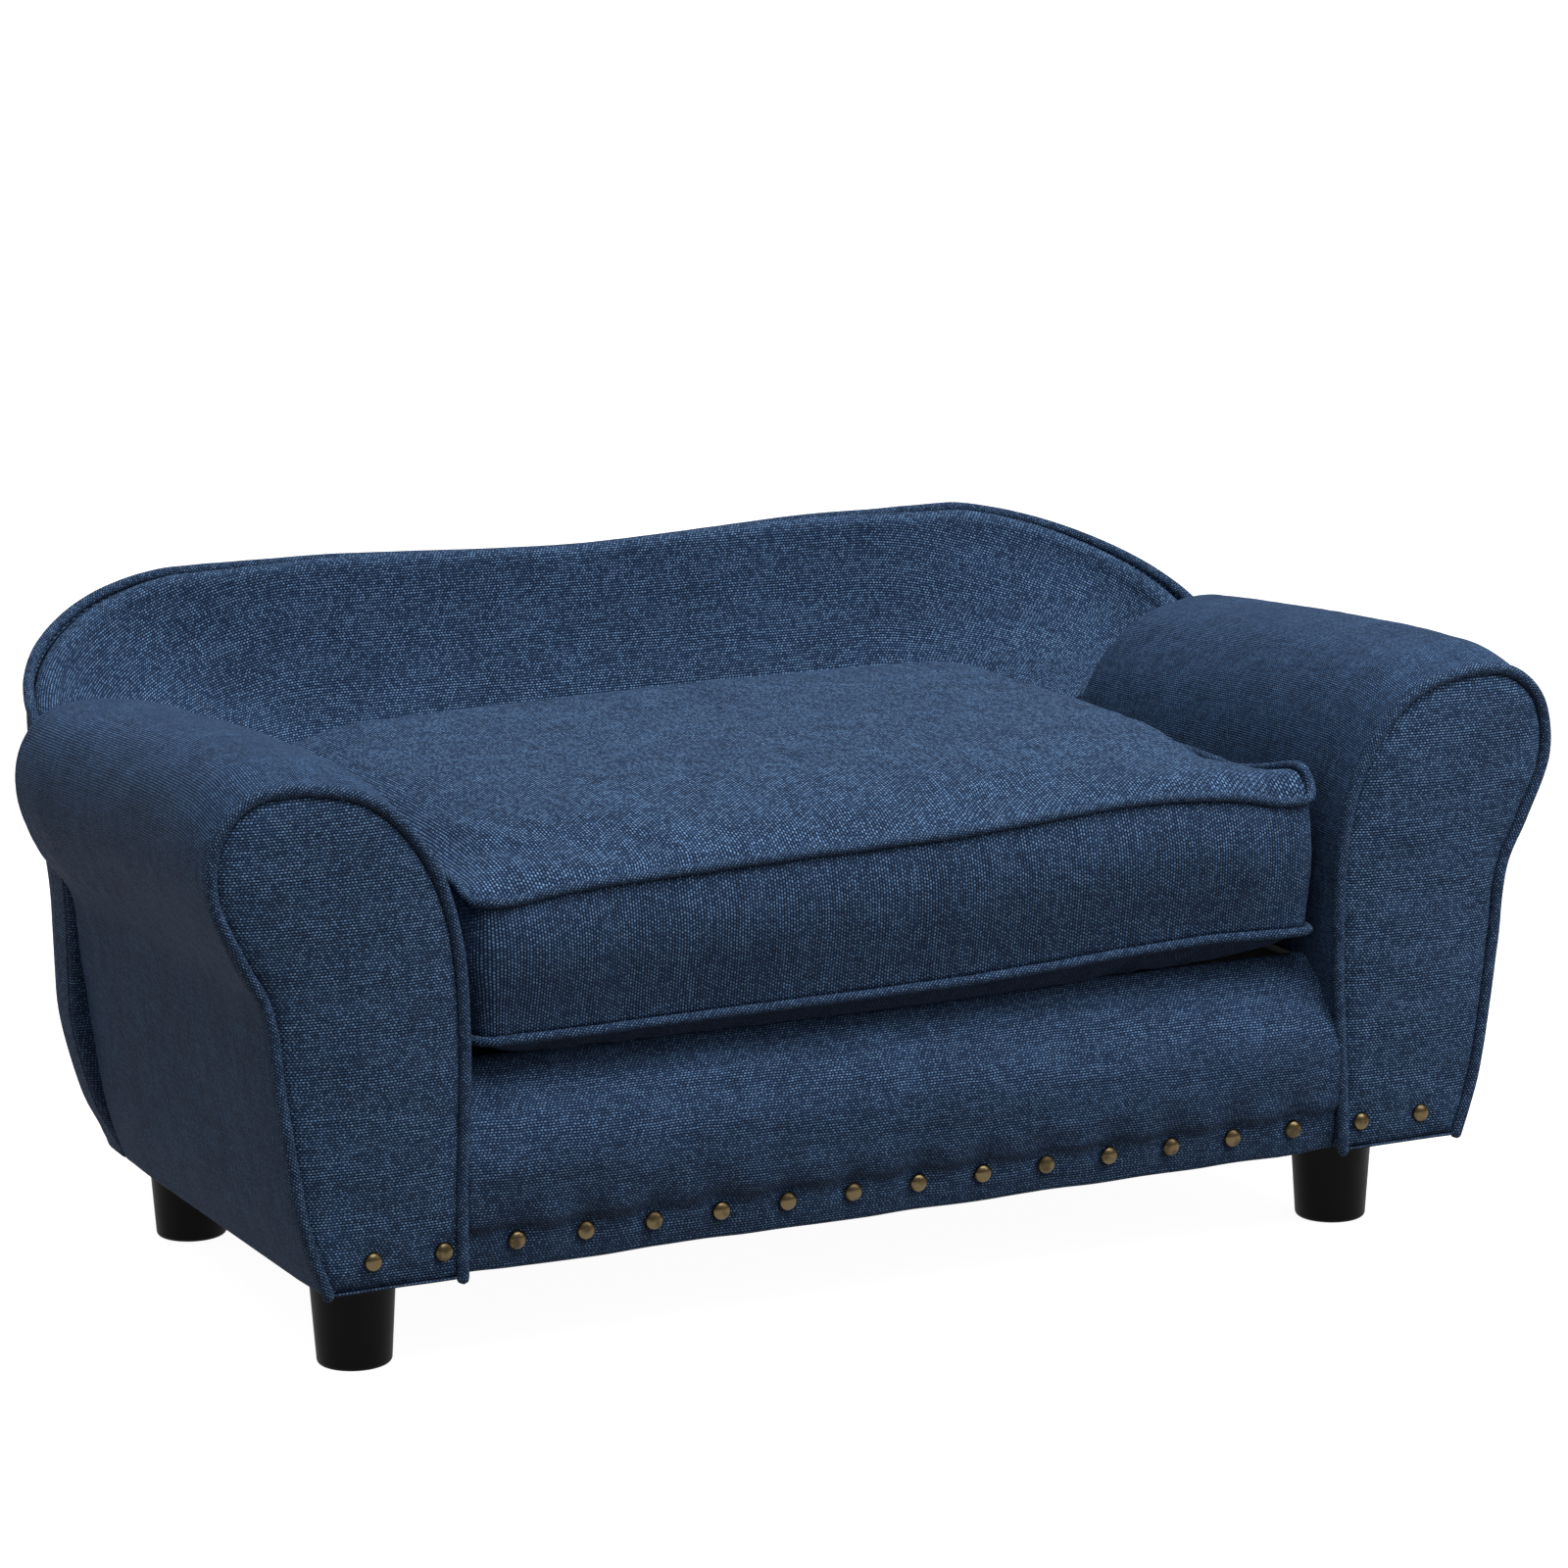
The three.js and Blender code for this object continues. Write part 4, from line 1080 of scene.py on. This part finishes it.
def build_apron():
    """Padded front of the base: it bulges above the nails, with the drag lines of taut cloth. Its
    ends are pushed in beside the arms and its lower edge is turned under."""
    section = spline(APRON_EDGE, 90)
    forward = -normals(section)
    half = mix(*APRON_HALF, smoothstep(97, 172, section[:, 1]))
    xs = half[:, None] * np.linspace(-1, 1, 330)[None]
    flat = np.broadcast_to(section[:, None], (*xs.shape, 2))
    rest = np.stack([xs, flat[..., 0], flat[..., 1]], axis=2)
    z = rest[..., 2]
    drag = wander(rest * (0.10, 1, 1), 9, 41) * 0.5 + wander(rest * (0.3, 1, 1), 26, 42) * 0.8
    drag = drag * smoothstep(66, 84, z) * smoothstep(163, 140, z)
    between = 1.2 * np.cos((xs / NAIL_PITCH) * 2 * math.pi + math.pi) * np.exp(-(((z - 83) / 8) ** 2))
    pulled = dimples(xs, z, BASE_NAILS, 1.8, 8.5)
    rounded = 0.8 * smoothstep(125, 150, z) * smoothstep(-198, -210, rest[..., 1])
    in_front = mix(0.1, 1.0, smoothstep(-205, -216, rest[..., 1]))
    ends = (1.6 + rounded) * in_front * smoothstep(26, 0, half[:, None] - np.abs(xs))
    hem = wander(rest * (1, 0, 0), 30, 43) * 0.7 * smoothstep(72, HEM, z)
    shift = drag + between - pulled - ends + hem
    moved = flat + forward[:, None] * shift[..., None]
    moved[..., 1] += smoothstep(70, HEM, z) * wander(rest * (1, 0, 0), 45, 44)
    points = np.stack([xs, moved[..., 0], moved[..., 1]], axis=2)
    tucks = ((0.3, 1.2), (0.5, 3.0), (0.5, 7.0))
    left = [points[:, :1] + np.array([-sideways, back, 0.0]) for sideways, back in tucks[::-1]]
    right = [points[:, -1:] + np.array([sideways, back, 0.0]) for sideways, back in tucks]
    points = np.concatenate([*left, points, *right], axis=1)
    under = [points[:1] + np.array([0, back, -0.8]) for back in (17.0, 8.0, 1.0)]
    points = np.concatenate([*under, points])
    apron = cloth("base_front_cover", points, (0, -1, 0), CLOTH["base"])
    return dress(apron, "base", "blue_linen", "base_front_cover")


def rounded_plan(half, front, rear, front_radius, rear_radius, step):
    """Closed outline with rounded corners, anticlockwise from the middle of its front."""
    points = []
    corners = [(1, front + front_radius, front_radius, -90), (1, rear - rear_radius, rear_radius, 0)]
    corners += [(-1, rear - rear_radius, rear_radius, 90), (-1, front + front_radius, front_radius, 180)]
    for side, y, radius, start in corners:
        for angle in np.radians(np.linspace(start, start + 90, 24)):
            points.append((side * (half - radius) + radius * math.cos(angle), y + radius * math.sin(angle)))
    points = np.vstack([[(0.0, front)], points])
    count = int(round(lengths(points, True)[-1] / step))
    return evenly(points, count, closed=True)


def flat_sheet(name, outline, height, pitch, thickness):
    """Thin horizontal sheet that hangs or lies a little uneven."""
    net, faces, edge, _ = polygon_net(outline, pitch, (3.0,))
    spots = np.column_stack([net, np.zeros(len(net))])
    z = height + wander(spots, 70, 51) * 0.6 * smoothstep(0, 60, edge)
    sheet = net_piece(name, np.column_stack([net, z]), faces, net)
    face_towards(sheet, (0, 0, 1))
    return thicken(sheet, thickness)


DECK_PLAN = {"half": DECK_HALF, "front": -188.0, "rear": 187.0, "front_radius": 2.0, "rear_radius": 83.0}
DUST_PLAN = {"half": 321.0, "front": -203.0, "rear": 180.0, "front_radius": 3.0, "rear_radius": 96.0}


def build_linings():
    """Lining on the seat board, and the dust cover under the frame."""
    deck = flat_sheet("deck_cover", rounded_plan(**DECK_PLAN, step=10.0), DECK_TOP - 0.8, 12.0, 0.5)
    dress(deck, "lining", "lining", "deck_cover")
    dust = flat_sheet("dust_cover", rounded_plan(**DUST_PLAN, step=10.0), FOOT_HEIGHT + 1.4, 14.0, 0.4)
    dress(dust, "lining", "lining", "dust_cover")


def lathe(name, profile, segments, axis="Z"):
    """Turned body from (radius, height) points; on the Y axis, height runs to the front."""
    profile = np.array(profile, float)
    angle = np.linspace(0, 2 * math.pi, segments, endpoint=False)
    radius = profile[:, :1]
    height = np.broadcast_to(profile[:, 1:], (len(profile), segments))
    x, y = radius * np.cos(angle)[None], radius * np.sin(angle)[None]
    rings = np.stack([x, -height, y] if axis == "Y" else [x, y, height], axis=2)
    body = surface(name, rings, wrap=True)
    merge(body, 0.005)
    return body


def arc(centre, radius, start, stop, count):
    """Points on a circle, between two angles in degrees."""
    return [
        (centre[0] + radius * math.cos(a), centre[1] + radius * math.sin(a))
        for a in np.radians(np.linspace(start, stop, count))
    ]


def build_feet():
    """Tapered feet: a recessed sole, a rounded lower edge, a small upper edge and the threaded stud."""
    low, high = FOOT_RADII
    sole = low - FOOT_ROUND
    profile = [(0, 0.8), (low - 6, 0.8), (low - 5, 0.0), (sole, 0.0)]
    profile += arc((sole, FOOT_ROUND), FOOT_ROUND, -80, 0, 8)
    for t in np.linspace(0.05, 1, 14):
        profile.append((mix(low, high, t), mix(FOOT_ROUND, FOOT_HEIGHT - 1.2, t)))
    profile += arc((high - 1.0, FOOT_HEIGHT - 1.0), 1.0, 20, 90, 5)
    profile += [(STUD, FOOT_HEIGHT), (STUD, STUD_TOP - 1), (STUD - 1, STUD_TOP), (0, STUD_TOP)]
    for across, side in SIDES.items():
        for depth, y in FOOT_YS.items():
            name = f"foot_{depth}_{across}"
            foot = lathe(f"{name}_shape", profile, 64)
            foot.name = f"{name}_moulded"
            foot.data.transform(Matrix.Translation((side * FOOT_X * MM, y * MM, 0)))
            dress(foot, "plastic", "foot_plastic", name)


def build_nails():
    """Domed nail heads with a rolled rim, each in the place of its CAD nail."""
    dome = NAIL_HEAD * 0.97
    profile = [(0, -11), (0.8, -9), (0.8, -0.4), (NAIL_HEAD - 0.8, -0.3)]
    profile += arc((NAIL_HEAD - 0.35, 0.1), 0.35, -90, 40, 6)
    for angle in np.linspace(0.16, math.pi / 2, 14):
        profile.append((dome * math.cos(angle), 0.2 + NAIL_DOME * math.sin(angle)))
    for node_name in sorted(n for n in frame["nodes"] if n.startswith("nail_")):
        low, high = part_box(node_name)
        head = lathe(f"{node_name}_head", profile, 32, axis="Y")
        tilt = Matrix.Rotation(0.05 * math.sin(7.0 * low.x / MM), 4, "Z")
        place = Vector(((low.x + high.x) / 2, low.y + 2.5 * MM, (low.z + high.z) / 2))
        head.data.transform(Matrix.Translation(place) @ tilt)
        dress(head, "brass", "nail_brass", node_name)


# ---- seat cushion ----

SEAM_RISE = 1.5  # how far each seam lies inside its welt's centre
BOXING_BULGE = 8.0
BOXING_ROWS = 11
CUSHION_STEP = 6.5  # distance between the points of its net
SIM_FRAMES = 18
SIM_REACH = 7.0  # the farthest that the simulation may move a point
FOAM_GAP = 5.0  # between the foam and its cover


def cushion_seam(step):
    """Line of the seams: tight corners at the front, wide ones at the rear."""
    half, front, rear = CUSHION_HALF - 2.3, CUSHION_FRONT + 5.0, CUSHION_REAR - 4.6
    return rounded_plan(half, front, rear, *CUSHION_CORNERS, step)


def upper_lift(flat):
    """The stuffing bows the front of the upper seam, highest right of the middle, low at its corners."""
    across = flat[:, 0] / CUSHION_HALF
    droop = np.where(across < 0, 6.7, 14.0) * np.abs(across) ** 4 * smoothstep(-198, -216, flat[:, 1])
    hump = 3.5 * np.exp(-(((flat[:, 0] - 135) / 70) ** 2))
    return smoothstep(-120, -205, flat[:, 1]) * (0.3 + 6.0 * across + hump) - droop


def lower_lift(flat):
    """The lower seam's front sags at the left and rises to the right, then droops at its corner."""
    across = flat[:, 0] / CUSHION_HALF
    droop = np.abs(across) ** 3 + 4.0 * smoothstep(0.7, 1.0, across)
    return smoothstep(-120, -205, flat[:, 1]) * (-1.8 + 4.5 * across - droop)


def crown(net, edge):
    """Heights of the cushion's top and bottom over a flat net, by the distance from its edge: the top
    is fullest at the right and swells more slowly behind its front edge."""
    behind_front = smoothstep(-228, -60, net[:, 1])
    fullness = mix(0.76, 1.0, smoothstep(-240, 60, net[:, 0]))
    swell = CROWN_TOP * fullness * (1 - np.exp(-edge / mix(60.0, 26.0, behind_front)))
    swell_low = CROWN_BOTTOM * (1 - np.exp(-edge / 16.0))
    top = CUSHION_HIGH - SEAM_RISE + swell + upper_lift(net) * np.exp(-edge / 70.0)
    bottom = CUSHION_LOW + SEAM_RISE - swell_low + lower_lift(net) * np.exp(-edge / 40.0)
    return top, bottom


def cushion_body(step):
    """Closed body: top and bottom nets of triangles and the boxing's rows between their edges."""
    outline = cushion_seam(step)
    count = len(outline)
    net, faces, edge, rim = polygon_net(outline, step)
    top_z, bottom_z = crown(net, edge)
    outward = normals(outline, closed=True)
    at_corner = smoothstep(205, 240, np.abs(outline[:, :1]))
    walls = []
    for row in range(1, BOXING_ROWS):
        t = row / BOXING_ROWS
        bulge = BOXING_BULGE * math.sin(math.pi * t**1.36) * mix(1.0, 0.5, at_corner)
        z = mix(bottom_z[rim], top_z[rim], t)
        walls.append(np.column_stack([outline + outward * bulge, z]))
    points = np.vstack([np.column_stack([net, top_z]), np.column_stack([net, bottom_z]), *walls])

    base = len(net)
    loops = [[base + i for i in rim]]
    loops += [[2 * base + k * count + j for j in range(count)] for k in range(BOXING_ROWS - 1)]
    loops.append(rim)
    sides = []
    for low, high in zip(loops, loops[1:]):
        for j in range(count):
            n = (j + 1) % count
            sides.append((low[j], low[n], high[n], high[j]))
    up = [face if turns_left(net, face) else face[::-1] for face in faces]
    down = [tuple(base + i for i in face[::-1]) for face in up]
    return points, up, down, sides, loops, outline


def turns_left(flat, face):
    a, b, c = (flat[i] for i in face[:3])
    return (b[0] - a[0]) * (c[1] - a[1]) - (b[1] - a[1]) * (c[0] - a[0]) > 0


def inflate(points, faces, seams):
    """Cloth simulation of the stuffed cover, without gravity; the seams are a little tight."""
    body = make_piece("inflating", points, faces)
    tight = body.vertex_groups.new(name="tight")
    tight.add([int(i) for i in seams], 1.0, "REPLACE")
    modifier = body.modifiers.new("Cloth", "CLOTH")
    settings = modifier.settings
    settings.quality = 6
    settings.mass = 0.25
    settings.tension_stiffness = 18
    settings.compression_stiffness = 12
    settings.shear_stiffness = 6
    settings.bending_stiffness = 0.35
    settings.use_pressure = True
    settings.uniform_pressure_force = 2.6
    settings.vertex_group_shrink = "tight"
    settings.shrink_min = 0.0
    settings.shrink_max = 0.045
    settings.effector_weights.gravity = 0
    modifier.collision_settings.use_collision = False
    scene = bpy.context.scene
    for step in range(1, SIM_FRAMES + 1):
        scene.frame_set(step)
    apply_modifiers(body)
    scene.frame_set(1)
    moved = np.array([v.co for v in body.data.vertices]) / MM
    bpy.data.objects.remove(body)
    return moved


def settle(rest, moved, cap):
    """Caps how far points moved and keeps the cushion off the arms, the back and the deck."""
    shift = moved - rest
    far = np.linalg.norm(shift, axis=1, keepdims=True)
    settled = rest + shift * np.tanh(far / cap) * cap / np.maximum(far, 1e-6)
    settled[:, 0] = np.clip(settled[:, 0], -CUSHION_HALF - 0.8, CUSHION_HALF + 0.8)
    settled[:, 1] = np.minimum(settled[:, 1], CUSHION_REAR - 0.6)
    settled[:, 2] = np.maximum(settled[:, 2], DECK_TOP + 1.0)
    return settled


def corner_ear(points):
    """The front corners of the upper seam stand up in a small ear with a dimple behind it."""
    shaped = points.copy()
    for side in (-1, 1):
        tip = np.array([side * (CUSHION_HALF - 2), CUSHION_FRONT + 27, CUSHION_HIGH])
        away = np.linalg.norm((points - tip) * (1, 0.62, 1.2), axis=1)
        ear = np.exp(-((away / 14) ** 2))
        shaped += ear[:, None] * np.array([side * 3.5, -0.5, 5.0])
        dent = tip + np.array([-side * 24, -4, 3])
        away = np.linalg.norm(points - dent, axis=1)
        shaped[:, 2] -= 4.5 * np.exp(-((away / 14) ** 2))
    shaped[:, 0] = np.clip(shaped[:, 0], -CUSHION_HALF - 1.2, CUSHION_HALF + 1.2)
    return shaped


def cut_out(name, points, faces, uv):
    """One panel of the cushion: the faces' own points, UVs from a flat place for each point."""
    used = sorted({i for face in faces for i in face})
    place = {old: new for new, old in enumerate(used)}
    local = [tuple(place[i] for i in face) for face in faces]
    corners = np.array([uv(face, k) for face in faces for k in range(len(face))])
    panel = make_piece(name, points[used], local, corners * MM)
    smooth = panel.modifiers.new("Smooth", "SUBSURF")
    smooth.levels = 1
    smooth.render_levels = 1
    smooth.boundary_smooth = "PRESERVE_CORNERS"
    apply_modifiers(panel)
    return panel


def build_cushion():
    """Cover panels, foam and welts, all cut from one simulated body."""
    rest, up, down, sides, loops, outline = cushion_body(CUSHION_STEP)
    faces = up + down + sides
    moved = inflate(rest, faces, loops[0] + loops[-1])
    shape = corner_ear(settle(rest, moved, SIM_REACH))
    around = lengths(outline, closed=True)
    row_of = {i: (row, column) for row, loop in enumerate(loops) for column, i in enumerate(loop)}

    def flat_uv(face, k):
        return rest[face[k]][:2]

    def side_uv(face, k):
        row = row_of[face[k]][0]
        first = row_of[face[0]][1]
        column = first if k in (0, 3) else first + 1
        return around[column], row * (CUSHION_HIGH - CUSHION_LOW) / (len(loops) - 1)

    for name, part, uv, material in (
        ("top", up, flat_uv, "top"),
        ("bottom", down, flat_uv, "underside"),
        ("boxing", sides, side_uv, "boxing"),
    ):
        panel = cut_out(f"cushion_{name}", shape, part, uv)
        thicken(panel, CLOTH["cushion"])
        dress(panel, material, "blue_linen", f"cushion_{name}", body="cushion")
    build_cushion_foam(shape, faces)
    build_cushion_welt("upper", shape[loops[-1]], 1.0)
    build_cushion_welt("lower", shape[loops[0]], -1.0)


def build_cushion_foam(shape, faces):
    """The cushion's own shape, a little smaller."""
    centre = shape.mean(axis=0)
    shrink = 1 - FOAM_GAP / np.array([CUSHION_HALF, 200.0, 55.0])
    foam = make_piece("cushion_foam_block", centre + (shape - centre) * shrink, faces)
    merge(foam, 0.001)
    dress(foam, "foam", "foam", "cushion_foam", body="cushion")


def build_cushion_welt(name, seam, rise):
    """Cord outside a seam, above the upper one and below the lower one."""
    along = tangents(seam, closed=True)
    outward = unit(np.stack([along[:, 1], -along[:, 0], np.zeros(len(seam))], axis=1))
    path = seam + outward * 1.6
    path[:, 2] += rise * 1.4
    path = evenly(path, len(path) * 3, closed=True)
    path[:, 2] += wander(path, 40, 61 + rise) * 0.4
    welt = make_cord(f"cushion_welt_{name}", path, CUSHION_WELT, closed=True, seed=5.0 + rise)
    dress(welt, "welt", "welt_fabric", f"cushion_welt_{name}", body="cushion")


# ---- zip at the rear of the cushion ----

ZIP_HALF = 149.0
ZIP_BACK = CUSHION_REAR - 2.4  # rear side of the tape
ZIP_HEIGHT = (CUSHION_LOW + CUSHION_HIGH) / 2
TEETH = 96  # turns of each coil
COIL = (0.55, 1.1)  # how far a coil swings backwards and upwards from its middle
SLIDER_X = -140.0


def build_zip_tape():
    """Tape with two rows of moulded teeth."""
    edges = [(-7.6, 0.3), (-3.2, 0.0), (-1.2, 0.5), (-0.4, 0.7)]
    edges += [(-z, depth) for z, depth in edges[::-1]]
    xs = np.linspace(-ZIP_HALF, ZIP_HALF, 90)
    points = np.array([[(x, ZIP_BACK - depth, ZIP_HEIGHT + z) for x in xs] for z, depth in edges])
    points[..., 2] += wander(points * (1, 0, 0), 50, 91) * 0.4
    pieces = [cloth("zipper_tape", points, (0, 1, 0), ZIP_TAPE)]
    turns = np.linspace(0, 2 * math.pi * TEETH, TEETH * 10)
    x = np.linspace(-ZIP_HALF + 4, ZIP_HALF - 4, len(turns))
    for row in (-1, 1):
        y = ZIP_BACK + 0.15 + COIL[0] * np.sin(turns)
        z = ZIP_HEIGHT + row * 0.9 + COIL[1] * np.cos(turns)
        pieces.append(make_cord(f"coil_{row}", np.column_stack([x, y, z]), 0.28, lumps=0.0, sides=5))
    tape = join("zipper_tape_and_coil", pieces)
    dress(tape, "lining", "zipper_tape", "zipper_tape", body="cushion")


def slider_points(plan, y, scale=1.0):
    """A slider outline of (x, z) at a height y above the tape."""
    return [(SLIDER_X + x * scale, ZIP_BACK + y, ZIP_HEIGHT + z * scale) for x, z in plan]


def build_slider():
    """Slider with its bridge and pull tab, at the left end of the zip."""
    plan = [(-6, 2.6), (-2, 3.0), (2.5, 3.6), (5, 2.4), (6, 0.8)]
    plan += [(x, -z) for x, z in plan[::-1]]
    levels = ((0.0, 0.1), (0.94, 0.1), (1.0, 0.5), (1.0, 1.5), (0.88, 2.0), (0.0, 2.1))
    rings = [slider_points(plan, y, scale) for scale, y in levels]
    slider = surface("slider_body", np.array(rings, float), wrap=True)
    merge(slider, 0.01)
    bow = np.array(arc((SLIDER_X, ZIP_BACK + 1.6), 2.4, 20, 160, 9))
    bow = np.column_stack([bow[:, 0], np.minimum(bow[:, 1], ZIP_BACK + 3.2), np.full(len(bow), ZIP_HEIGHT)])
    bridge = make_cord("slider_bridge", bow, 0.5, lumps=0.0, sides=8)
    tab = [(2.0, 0.0), (2.0, 1.1), (6.0, 1.6), (15.0, 2.0), (17.0, 1.2), (17.6, 0.0)]
    tab += [(x, -z) for x, z in tab[::-1][1:]]
    edge = np.array([slider_points(tab, y) for y in (2.2, 2.9)])
    middle = np.broadcast_to(edge.mean(axis=1, keepdims=True), edge.shape)
    pull = surface("slider_pull", np.stack([middle[0], edge[0], edge[1], middle[1]]), wrap=True)
    merge(pull, 0.01)
    slider = join("zipper_slider_and_pull", [slider, bridge, pull])
    dress(slider, "zinc", "zipper_metal", "zipper_slider", body="zipper_slider")


# ---- CAD nodes that keep their shape ----


def dress_frame():
    """Procedural pine and plywood on the rails and boards, the CAD nodes that nothing stands for."""
    slots = {part["node"]: part["material_slot"] for part in frame["record"]["subparts"]}
    for name, cad in frame["nodes"].items():
        if not cad.hide_render:
            cad.data.materials.clear()
            cad.data.materials.append(MATERIALS[slots[name]])


# ---- camera, light and floor ----


CAMERA_TURN = (-24.977, 11.701, -0.662)  # azimuth, elevation and roll in degrees
CAMERA_AIM = (-0.0747, -0.224, 0.2889)  # in metres, as is its distance
CAMERA_DISTANCE = 2.6085
CAMERA_LENS = 120.3


def add_camera():
    azimuth, elevation, roll = (math.radians(angle) for angle in CAMERA_TURN)
    flat = math.cos(elevation)
    back = Vector((math.sin(azimuth) * flat, -math.cos(azimuth) * flat, math.sin(elevation)))
    right = Vector((math.cos(azimuth), math.sin(azimuth), 0))
    up = back.cross(right)
    turned = right * math.cos(roll) + up * math.sin(roll)
    above = up * math.cos(roll) - right * math.sin(roll)
    data = bpy.data.cameras.new("camera")
    data.lens = CAMERA_LENS
    data.sensor_width = 36
    data.clip_end = 100
    camera = bpy.data.objects.new("camera", data)
    axes = Matrix((turned, above, back)).transposed().to_4x4()
    camera.matrix_world = Matrix.Translation(Vector(CAMERA_AIM) + back * CAMERA_DISTANCE) @ axes
    bpy.context.scene.collection.objects.link(camera)
    bpy.context.scene.camera = camera


def add_light(name, kind, strength, direction, **settings):
    """Lamp that shines along a direction."""
    data = bpy.data.lights.new(name, kind)
    data.energy = strength
    for key, value in settings.items():
        setattr(data, key, value)
    lamp = bpy.data.objects.new(name, data)
    lamp.rotation_mode = "QUATERNION"
    lamp.rotation_quaternion = Vector(direction).to_track_quat("-Z", "Y")
    bpy.context.scene.collection.objects.link(lamp)
    return lamp


BAND = (0.485, 0.499, 0.52, 0.545)  # rise and fall of the bright band; the horizon is at 0.5


def add_world():
    """Soft white surroundings: brighter overhead and to the front right, dimmer below the horizon,
    with a thin bright band along it."""
    world = bpy.data.worlds.new("studio")
    bpy.context.scene.world = world
    world.use_nodes = True
    tree = world.node_tree
    background = tree.nodes["Background"]
    way = node(tree, "ShaderNodeTexCoord", output="Generated")
    upward = node(tree, "ShaderNodeSeparateXYZ", {0: way}, "Z")
    height = node(tree, "ShaderNodeMath", {0: upward, 1: 0.5, 2: 0.5}, operation="MULTIPLY_ADD")
    ramp = node(tree, "ShaderNodeValToRGB", {0: height})
    stops = ramp.socket.node.color_ramp.elements
    stops[0].position, stops[0].color = 0.0, rgb(0.005, 0.005, 0.006)
    stops[1].position, stops[1].color = 1.0, rgb(1.0, 1.0, 1.0)
    for position, grey in zip((*BAND, 0.75), (0.02, 1.0, 1.0, 0.22, 0.55)):
        stops.new(position).color = rgb(grey, grey, grey)
    inputs = {0: way, 1: (0.85, -0.5, 0.1)}
    towards_light = node(tree, "ShaderNodeVectorMath", inputs, "Value", operation="DOT_PRODUCT")
    side_share = spread(towards_light, -0.9, 0.9, 0.55, 1.2)
    in_band = spread(height, BAND[0], BAND[1]) * spread(height, BAND[3], BAND[2])
    feed(background.inputs[0], ramp)
    feed(background.inputs[1], side_share.maths("MAXIMUM", in_band))


def add_lights():
    """A broad lamp overhead, a little to the front right, and a softbox close to the right arm."""
    add_light("key", "SUN", 2.6, (-0.16, 0.34, -1.0), angle=math.radians(50))
    softbox = add_light("softbox", "AREA", 2.2, (-0.4, 0.6, -0.5), size=0.5)
    softbox.location = (0.65, -0.8, 0.7)
    softbox.visible_camera = False


def add_floor():
    """Plain white floor; it doesn't light the object from below."""
    span = 60000.0
    points = [(-span, -span, 0), (span, -span, 0), (span, span, 0), (-span, span, 0)]
    floor = make_piece("floor", points, [(0, 1, 2, 3)], smooth=False)
    material, tree, shader = new_material("floor", 0.9, Specular_IOR_Level=0.0, Emission_Strength=0.95)
    shader.inputs["Emission Color"].default_value = rgb(1, 1, 1)
    grain = object_noise(tree, 3.0, 2.0)
    feed(shader.inputs["Base Color"], blend(grain, rgb(0.34, 0.34, 0.34), rgb(0.36, 0.36, 0.36)))
    floor.data.materials.append(material)
    floor.visible_diffuse = False
    floor.location.z = -0.0002


def build():
    add_camera()
    for name, side in SIDES.items():
        build_arm_cover(side, name)
        build_arm_foam(side, name)
        build_arm_panel(side, name)
        build_arm_welt(side, name)
    build_rear_cover()
    build_inner_cover()
    build_back_foam()
    build_back_shell()
    build_back_welt()
    build_apron()
    build_linings()
    build_feet()
    build_nails()
    build_cushion()
    build_zip_tape()
    build_slider()
    dress_frame()
    add_world()
    add_lights()
    add_floor()
    bpy.context.scene.view_settings.view_transform = "Standard"


build()
